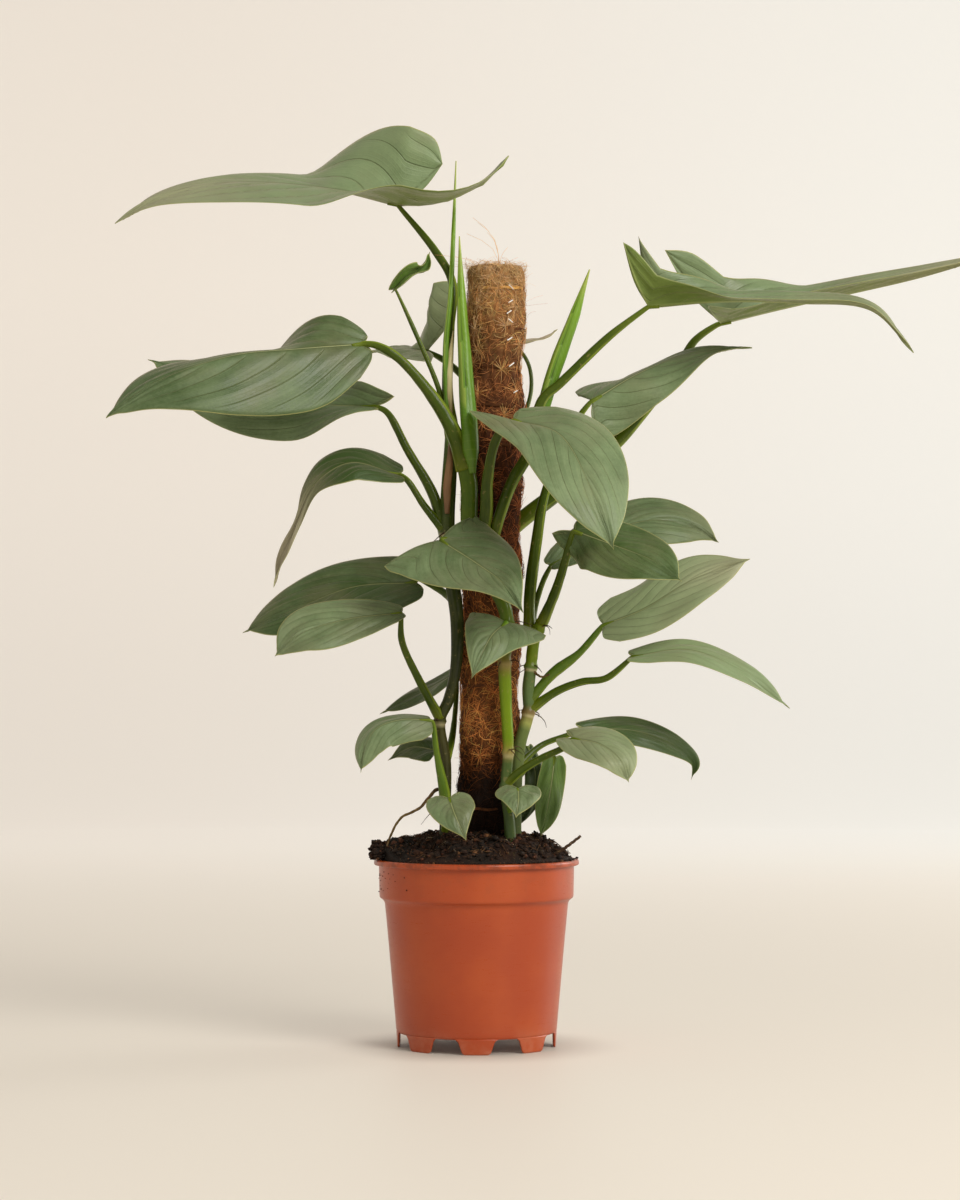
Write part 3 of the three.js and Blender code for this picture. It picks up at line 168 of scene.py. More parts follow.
class Line:
    """A smooth line through points, read by the share of its length."""

    def __init__(self, points):
        p = np.asarray(points, float)
        p = np.vstack([2 * p[0] - p[1], p, 2 * p[-1] - p[-2]])
        t = np.linspace(0, 1, SPAN_STEPS, endpoint=False)[:, None]
        pieces = []
        for a, b, c, d in zip(p, p[1:], p[2:], p[3:]):
            ab, bc, cd = (np.linalg.norm(step) ** 0.5 for step in (b - a, c - b, d - c))
            leaving = ((b - a) / ab - (c - a) / (ab + bc) + (c - b) / bc) * bc
            arriving = ((c - b) / bc - (d - b) / (bc + cd) + (d - c) / cd) * bc
            curve = (2 * t**3 - 3 * t**2 + 1) * b + (t**3 - 2 * t**2 + t) * leaving
            pieces.append(curve + (3 * t**2 - 2 * t**3) * c + (t**3 - t**2) * arriving)
        self.points = np.vstack(pieces + [p[-2]])
        steps = np.linalg.norm(np.diff(self.points, axis=0), axis=1)
        self.distance = np.concatenate([[0.0], np.cumsum(steps)])
        self.length = self.distance[-1]

    def at(self, share):
        reach = np.asarray(share, float) * self.length
        return np.stack([np.interp(reach, self.distance, self.points[:, k]) for k in range(3)], -1)

    def tangent(self, share):
        share = np.asarray(share, float)
        step = 0.004
        return unit(self.at(np.clip(share + step, 0, 1)) - self.at(np.clip(share - step, 0, 1)))


def add_mesh(name, points, faces, finish, nodes=(), values=None, tints=None):
    """Makes a piece from points in millimetres from the pot's axis, and ties it to the frame."""
    mesh = bpy.data.meshes.new(name)
    mesh.from_pydata((np.asarray(points) * MM + POT_AXIS).tolist(), [], [tuple(f) for f in faces])
    for key, numbers in (values or {}).items():
        mesh.attributes.new(key, "FLOAT", "POINT").data.foreach_set("value", np.asarray(numbers, np.float32))
    for key, shades in (tints or {}).items():
        shades = np.asarray(shades, np.float32).ravel()
        mesh.attributes.new(key, "FLOAT_COLOR", "POINT").data.foreach_set("color", shades)
    mesh.polygons.foreach_set("use_smooth", [True] * len(mesh.polygons))
    mesh.materials.append(finish)
    mesh.update()
    piece = bpy.data.objects.new(name, mesh)
    bpy.context.scene.collection.objects.link(piece)
    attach(piece, "root")
    if nodes:
        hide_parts(*nodes)
    return piece


class Batch:
    """Gathers closed shapes into one mesh, with a colour and numbers for each point."""

    def __init__(self):
        self.points, self.faces, self.tints = [], [], []
        self.values = {}
        self.count = 0

    def add(self, points, faces, tints, **values):
        self.faces.extend([tuple(corner + self.count for corner in face) for face in faces])
        self.points.append(np.asarray(points, float))
        self.tints.append(np.broadcast_to(np.asarray(tints, float), (len(points), 4)))
        for key, numbers in values.items():
            self.values.setdefault(key, []).append(np.broadcast_to(numbers, (len(points),)))
        self.count += len(points)

    def make(self, name, finish, slot, nodes=()):
        values = {key: np.concatenate(numbers) for key, numbers in self.values.items()}
        tints = {"skin": np.vstack(self.tints)}
        return add_mesh(name, np.vstack(self.points), self.faces, finish, nodes, values, tints)


def ring_faces(rings, sides):
    """Quads between successive rings of points, with a flat end at each."""
    faces = []
    for ring in range(rings - 1):
        for side in range(sides):
            a = ring * sides + side
            b = ring * sides + (side + 1) % sides
            faces.append((a, b, b + sides, a + sides))
    last = (rings - 1) * sides
    faces.append(tuple(reversed(range(sides))))
    faces.append(tuple(range(last, last + sides)))
    return faces


def carried_frames(points):
    """Tangents of a row of points, with a side direction that turns as little as it can."""
    tangents = unit(np.gradient(points, axis=0))
    helper = np.array([0.0, 1.0, 0.0]) if abs(tangents[0][1]) < 0.9 else np.array([1.0, 0.0, 0.0])
    sides = []
    side = np.cross(tangents[0], helper)
    for tangent in tangents:
        side = unit(side - tangent * np.dot(side, tangent))
        sides.append(side)
    sides = np.array(sides)
    return tangents, sides, np.cross(tangents, sides)


def sweep(points, radius, sides):
    """A tube round a row of points. radius takes the share along and the angle round."""
    _, across, out = carried_frames(points)
    share = np.linspace(0, 1, len(points))[:, None]
    angle = (np.arange(sides) / sides * 2 * math.pi)[None, :]
    reach = radius(share, angle) * np.ones((len(points), sides))
    ring = across[:, None, :] * np.cos(angle)[..., None] + out[:, None, :] * np.sin(angle)[..., None]
    places = points[:, None, :] + reach[..., None] * ring
    flat_share = np.broadcast_to(share, reach.shape).ravel()
    flat_angle = np.broadcast_to(angle, reach.shape).ravel()
    return places.reshape(-1, 3), ring_faces(len(points), sides), flat_share, flat_angle


def strands(lines, radii, sides=3):
    """Many thin tubes at once. lines is strands by points by three, and radii strands by points."""
    count, steps, _ = lines.shape
    tangents = unit(np.gradient(lines, axis=1))
    helper = np.where(np.abs(tangents[..., 2:3]) < 0.8, [0.0, 0.0, 1.0], [1.0, 0.0, 0.0])
    across = unit(np.cross(tangents, helper))
    out = np.cross(tangents, across)
    angle = np.arange(sides) / sides * 2 * math.pi
    ring = across[:, :, None] * np.cos(angle)[:, None] + out[:, :, None] * np.sin(angle)[:, None]
    points = (lines[:, :, None] + radii[..., None, None] * ring).reshape(-1, 3)
    one = np.array([face for face in ring_faces(steps, sides) if len(face) == 4])
    first = np.arange(count)[:, None, None] * steps * sides
    quads = (one[None] + first).reshape(-1, 4).tolist()
    ends = np.array([list(reversed(range(sides))), [(steps - 1) * sides + k for k in range(sides)]])
    caps = (ends[None] + first).reshape(-1, sides).tolist()
    return points, quads + caps


def lumps(places, sizes, random):
    """Small rough crumbs: an icosahedron with its corners pushed about, for each place."""
    squash = 0.8
    neighbours = 1.1
    golden = (1 + 5**0.5) / 2
    corners = [(s * 1.0, t * golden, 0.0) for s in (-1, 1) for t in (-1, 1)]
    corners = np.array([np.roll(corner, turn) for turn in range(3) for corner in corners])
    corners = unit(corners)
    hull = []
    gaps = np.linalg.norm(corners[:, None] - corners[None], axis=2)
    for a in range(12):
        for b in range(a + 1, 12):
            for c in range(b + 1, 12):
                if max(gaps[a, b], gaps[b, c], gaps[a, c]) < neighbours:
                    turned = np.dot(np.cross(corners[b] - corners[a], corners[c] - corners[a]), corners[a])
                    hull.append((a, b, c) if turned > 0 else (a, c, b))
    count = len(places)
    shape = corners[None] * random.uniform(0.65, 1.25, (count, 12, 1))
    shape[..., 2] *= squash
    spin = random.uniform(0, 2 * math.pi, count)
    cos, sin = np.cos(spin)[:, None], np.sin(spin)[:, None]
    turned = np.stack([
        shape[..., 0] * cos - shape[..., 1] * sin, shape[..., 0] * sin + shape[..., 1] * cos, shape[..., 2],
    ], -1)
    points = (np.asarray(places)[:, None] + turned * np.asarray(sizes)[:, None, None]).reshape(-1, 3)
    faces = (np.array(hull)[None] + 12 * np.arange(count)[:, None, None]).reshape(-1, 3).tolist()
    return points, faces, np.repeat(np.arange(count), 12)


# Tables

# Where along a blade its fold and curl are given: the lobe's end, the joint, a third of the way, the tip.
STOPS = np.array([-0.3, 0.0, 0.33, 1.0])
FLAT = [[0, 0, 0, 0], [0, 0, 0, 0]]
SHALLOW = [[12, 12, 6, 4], [12, 12, 6, 4]]
DROOP = [[-20, -20, -20, -8], [-20, -20, -20, -8]]

# How light a blade is painted, from 0 for the dark ones in the shade of others: partly how silvery it is,
# partly painted shade. The rest have the usual tone.
USUAL_TONE = 0.55
TONES = {
    "leaf_hanging": 0.0, "leaf_low_hanging": 0.4, "leaf_low_right_rear": 0.15, "leaf_low_left_rear": 0.15,
    "leaf_left_behind_stem": 0.45, "leaf_low_strip": 0.08, "leaf_mid_left": 0.28, "leaf_mid_right": 0.35,
    "leaf_right_long": 0.9, "leaf_top_right": 0.62, "leaf_top_right_rear": 0.66, "leaf_top_left": 0.76,
    "leaf_young_curled": 0.8, "leaf_front_large": 0.6, "leaf_right_wide": 0.8, "leaf_front_arrow": 0.5,
    "leaf_mid_right_rear": 0.45, "leaf_upper_left": 0.38, "leaf_low_right": 0.75, "leaf_behind_pole": 0.75,
}

# Blades that are pale taupe, partly dry and papery, partly painted sheen where they are seen at a grazing
# angle: as far as they are at the foot and at the tip.
DRYNESS_AND_SHEEN = {
    "leaf_behind_pole_right": (0.85, 0.85), "leaf_behind_pole": (0.1, 0.1), "leaf_hanging": (0.0, 0.5),
    "leaf_right_wide": (0.08, 0.3), "leaf_top_right": (0.0, 0.2), "leaf_top_right_rear": (0.0, 0.3),
    "leaf_top_left": (0.0, 0.35), "leaf_low_right": (0.1, 0.16),
}

# Young blades that are still grass green, as far as they are.
FRESHNESS = {
    "leaf_low_hanging": 0.75, "leaf_low_right_rear": 0.35, "leaf_hanging": 0.2, "leaf_low_strip": 0.6,
    "leaf_low_left_rear": 0.25, "leaf_mid_right": 0.2,
}

# A stem's colours from its foot up, by height.
STEM_SHADES = {
    "stem_left": [
        (96, colour(33, 42, 18)), (200, colour(23, 31, 11)), (262, colour(54, 51, 25)),
        (280, colour(36, 45, 16)), (330, colour(28, 38, 13)), (400, colour(33, 46, 15)),
        (430, colour(48, 64, 21)), (509, colour(54, 75, 23)),
    ],
    "stem_front": [
        (96, colour(58, 72, 30)), (170, colour(56, 76, 40)), (236, colour(60, 82, 40)),
        (243, colour(140, 124, 70)), (249, colour(110, 120, 30)), (256, colour(96, 124, 10)),
        (305, colour(98, 122, 12)), (316, colour(120, 98, 50)), (326, colour(70, 90, 16)),
        (350, colour(70, 92, 18)), (400, colour(62, 84, 12)), (479, colour(66, 92, 14)),
    ],
    "stem_right": [
        (96, colour(54, 66, 32)), (180, colour(66, 84, 46)), (262, colour(88, 104, 56)),
        (268, colour(142, 148, 80)), (277, colour(112, 88, 54)), (284, colour(80, 102, 62)),
        (312, colour(84, 106, 60)), (318, colour(98, 120, 18)), (352, colour(96, 118, 18)),
    ],
    "stem_back": [
        (96, colour(70, 70, 28)), (230, colour(76, 84, 30)), (371, colour(64, 86, 26)),
        (540, colour(70, 98, 26)),
    ],
}

# Petioles that are paler or brighter than the others: colours at the stem and along the rest.
USUAL_PETIOLE = (colour(90, 102, 12), colour(50, 70, 4))
PETIOLE_SHADES = {
    "leaf_front_small": (colour(88, 122, 24), colour(86, 128, 22)),
    "leaf_low_centre": (colour(102, 113, 34), colour(88, 111, 26)),
    "leaf_low_left": (colour(92, 106, 33), colour(73, 101, 24)),
    "leaf_right_wide": (colour(81, 98, 35), colour(72, 100, 28)),
    "leaf_low_front": (colour(93, 111, 32), colour(81, 111, 25)),
}

OUTLINES = {
    "arrow": [[0.62, -1], [0.9, -0.62], [0.98, 0.02], [0.96, 0.14], [0.9, 0.34], [0.7, 0.56], [0.4, 0.76],
        [0.16, 0.89], [0.045, 0.95], [0, 1]],
    "heart": [[0.5, -1], [0.86, -0.6], [1, 0.06], [0.99, 0.2], [0.86, 0.42], [0.6, 0.63], [0.27, 0.81],
        [0.09, 0.91], [0, 1]],
    "long": [[0.3, -1], [0.52, -0.5], [0.82, 0.1], [1, 0.28], [0.96, 0.48], [0.76, 0.67], [0.42, 0.83],
        [0.15, 0.92], [0.05, 0.96], [0, 1]],
    "blunt": [[0.3, -1], [0.6, -0.5], [0.88, 0.08], [1, 0.28], [1, 0.5], [0.84, 0.69], [0.52, 0.84],
        [0.19, 0.93], [0.05, 0.965], [0, 1]],
    "taper": [[0.12, -1], [0.3, -0.5], [0.56, 0.04], [0.92, 0.18], [1, 0.34], [0.88, 0.56], [0.54, 0.77],
        [0.19, 0.915], [0.05, 0.96], [0, 1]],
    "paddle": [[0.15, -1], [0.32, -0.5], [0.55, 0.06], [0.84, 0.26], [1, 0.5], [0.94, 0.69], [0.64, 0.84],
        [0.2, 0.94], [0.05, 0.97], [0, 1]],
    "wide": [[0.97, -1], [1, -0.4], [0.95, 0.04], [0.9, 0.14], [0.76, 0.34], [0.57, 0.53], [0.33, 0.73],
        [0.12, 0.88], [0.035, 0.945], [0, 1]],
    "horned": [[1.55, -1], [1.36, -0.3], [0.8, 0.05], [0.7, 0.12], [0.74, 0.3], [0.6, 0.52], [0.36, 0.74],
        [0.14, 0.89], [0.04, 0.95], [0, 1]],
    "tail": [[0.3, -1], [0.6, -0.5], [0.88, 0.08], [1, 0.2], [0.9, 0.34], [0.36, 0.5], [0.14, 0.68],
        [0.3, 0.84], [0.06, 0.96], [0, 1]],
}

STEMS = {
    "stem_left": dict(
        line=[[-27, -16, 96], [-27, -16, 163], [-25, -16, 233], [-30, -16, 270], [-23, -17, 287],
            [-17, -19, 313], [-16, -20, 353], [-20, -18, 386], [-24, -16, 425], [-22, -16, 477],
            [-20, -18, 509]],
        radii=[4, 4.2, 4.2, 4.4, 4.6, 5.6, 6.2, 6.2, 5.6],
        nodes=[270, 425],
    ),
    "stem_front": dict(
        line=[[29, -34, 96], [28, -34, 164], [27, -34, 186], [24, -34, 217], [26, -34, 244], [24, -35, 287],
            [23, -37, 318], [24, -38, 358], [9, -34, 392], [-5, -32, 426], [-6, -33, 462], [-9, -34, 479]],
        radii=[4.8, 4.8, 4.6, 4.4, 5, 5.4, 6.4, 7, 7],
        nodes=[216, 244, 318, 350],
    ),
    "stem_right": dict(
        line=[[33, -17, 96], [33, -17, 163], [33, -18, 213], [36, -15, 250], [43, -13, 277], [43, -13, 297],
            [45, -13, 314], [48, -14, 337], [54, -18, 352]],
        radii=[4.2, 4.2, 4.4, 5, 5, 4.8],
        nodes=[277, 314, 345],
    ),
    "stem_back": dict(
        line=[[14, 32, 96], [14, 32, 161], [16, 33, 237], [19, 34, 304], [21, 35, 371], [21, 36, 439],
            [12, 37, 506], [6, 38, 540]],
        radii=[5, 5, 5.4, 5.8, 5.4],
        nodes=[237, 371, 439],
    ),
}

PETIOLES = {
    "leaf_top_left": dict(
        stem="stem_left", radii=[5, 4.4, 3.6],
        line=[[-20, -18, 509], [-24, -18, 542], [-22, -18, 592], [-20, -16, 631], [-35, -12, 659],
            [-64, -8, 695]],
    ),
    "leaf_young_curled": dict(
        stem="stem_left", radii=[3, 2.2, 2],
        line=[[-22, -18, 500], [-30, -23, 539], [-46, -25, 579], [-66.5, -24, 624]],
    ),
    "leaf_behind_pole": dict(
        stem="stem_back", radii=[3.6, 3.2, 3],
        line=[[8, 38, 528], [-4, 50, 552], [-24, 63, 574], [-41, 74, 585]],
    ),
    "leaf_behind_pole_right": dict(
        stem="stem_back", radii=[2.6, 2.2, 1.8],
        line=[[14, 37, 492], [36, 42, 520], [46, 48, 548], [44, 53, 572], [34, 55, 586], [22, 54, 588]],
    ),
    "leaf_upper_left": dict(
        stem="stem_front", radii=[7, 6.6, 5.4, 4],
        line=[[-8, -34, 476], [-21, -38, 511], [-40, -42, 540], [-64, -44, 566], [-82, -45, 576],
            [-92, -45, 577]],
    ),
    "leaf_upper_left_rear": dict(
        stem="stem_left", radii=[5, 4.6, 3.6],
        line=[[-24, -16, 418], [-36, -12, 457], [-57, -9, 494], [-75, -6, 526], [-86, -5, 530]],
    ),
    "leaf_hanging": dict(
        stem="stem_left", radii=[3.8, 3.4, 2.8],
        line=[[-24, -16, 424], [-43, -17, 447], [-57, -16, 468], [-64, -15, 473]],
    ),
    "leaf_mid_left": dict(
        stem="stem_left", radii=[3.6, 3.2, 2.8],
        line=[[-17, -19, 368], [-27, -6, 376], [-40, 4, 384], [-50, 8, 389]],
    ),
    "leaf_mid_left_front": dict(
        stem="stem_left", radii=[3.8, 3.6, 3],
        line=[[-30, -17, 272], [-47, -30, 303], [-61, -44, 336], [-61, -48, 356]],
    ),
    "leaf_front_arrow": dict(
        stem="stem_front", radii=[4, 3.6, 3],
        line=[[4, -33, 402], [-4, -48, 410], [-15, -62, 415], [-28, -71, 416]],
    ),
    "leaf_front_small": dict(
        stem="stem_front", radii=[3.4, 3, 2.6],
        line=[[23, -37, 330], [24, -43, 341], [24, -49, 349]],
    ),
    "leaf_front_large": dict(
        stem="stem_front", radii=[5.4, 5.4, 5, 4],
        line=[[2, -33, 404], [8, -40, 440], [9, -46, 466], [17, -58, 500], [29.5, -66, 511.5]],
    ),
    "leaf_top_right": dict(
        stem="stem_front", radii=[4.4, 4.8, 4.8, 3.8],
        line=[[8, -34, 394], [19, -36, 438], [30, -34, 467], [43, -32, 490], [54, -30, 533], [68, -30, 546],
            [110, -30, 586], [139, -30, 608]],
    ),
    "leaf_top_right_rear": dict(
        stem="stem_back", radii=[7, 7, 6, 4.4],
        line=[[20, 35, 424], [42, 32, 442], [71, 32, 464], [121, 32, 507], [171, 34, 569], [184, 36, 590],
            [204, 38, 604]],
    ),
    "leaf_upper_right": dict(
        stem="stem_right", radii=[4.6, 5, 4.6, 3.6],
        line=[[44, -13, 340], [44, -8, 372], [50, -3, 420], [56, -2, 455], [71, -3, 496], [86, -6, 523],
            [95, -8, 534]],
    ),
    "leaf_mid_right": dict(
        stem="stem_right", radii=[4.4, 4.2, 3.6],
        line=[[54, -18, 350], [65, -32, 377], [73, -50, 403], [78, -61, 422]],
    ),
    "leaf_mid_right_rear": dict(
        stem="stem_right", radii=[2.8, 2.6, 2.4],
        line=[[46, -13, 344], [48, -8, 362], [55, -6, 385], [61, -8, 397]],
    ),
    "leaf_right_wide": dict(
        stem="stem_right", radii=[3.4, 4, 4.6, 3],
        line=[[43, -13, 285], [62, -12, 308], [85, -13, 326], [104, -14, 348]],
    ),
    "leaf_right_long": dict(
        stem="stem_right", radii=[4, 3.4, 3],
        line=[[43, -13, 278], [66, -12, 294], [87, -13, 302], [107, -14, 305], [128, -16, 322]],
    ),
    "leaf_low_right": dict(
        stem="stem_front", radii=[3.4, 3.4, 3],
        line=[[24, -34, 217], [35, -40, 228], [52, -46, 239], [72, -52, 249], [77, -52, 254]],
    ),
    "leaf_low_right_rear": dict(
        stem="stem_right", radii=[2.8, 2.6, 2.4],
        line=[[34, -16, 232], [53, -6, 249], [73, -2, 257], [85, 0, 261]],
    ),
    "leaf_low_hanging": dict(
        stem="stem_right", radii=[2.6, 2.4, 2],
        line=[[33, -17, 222], [44, -4, 233], [57, 4, 240], [65, 6, 240]],
    ),
    "leaf_low_front": dict(
        stem="stem_front", radii=[2.6, 2.2, 1.8],
        line=[[26, -34, 192], [29, -42, 206], [32, -47, 214]],
    ),
    "leaf_low_centre": dict(
        stem="stem_left", radii=[3, 2.4, 2],
        line=[[-26, -16, 178], [-25, -34, 196], [-22, -51.5, 206.7]],
    ),
    "leaf_low_left": dict(
        stem="stem_left", radii=[3, 5, 4, 2.6],
        line=[[-26, -16, 184], [-26, -24, 207], [-33, -34, 246], [-36, -38, 269]],
    ),
    "leaf_low_left_rear": dict(
        stem="stem_left", radii=[2.2, 2, 1.8],
        line=[[-25, -16, 234], [-27, 0, 240], [-33, 21, 245]],
    ),
    "leaf_left_behind_stem": dict(
        stem="stem_left", radii=[3, 3, 2.2],
        line=[[-25, -16, 234], [-20, 4, 257], [-17, 22, 287], [-16, 26, 309]],
    ),
    "leaf_low_strip": dict(
        stem="stem_back", radii=[2.6, 2.4, 2],
        line=[[15, 32, 230], [28, 31, 245], [42, 23, 247]],
    ),
}


def blade(spine, face, half, shape, lobe, fold, lift=(0, 0), curl=FLAT, wave=0, phase=0):
    """A blade's row in the table. Pairs are for its left and right half, and angles are in degrees."""
    return dict(
        spine=spine, face=face, half=half, shape=shape, lobe=lobe, fold=fold, lift=lift, curl=curl,
        wave=wave, phase=phase,
    )


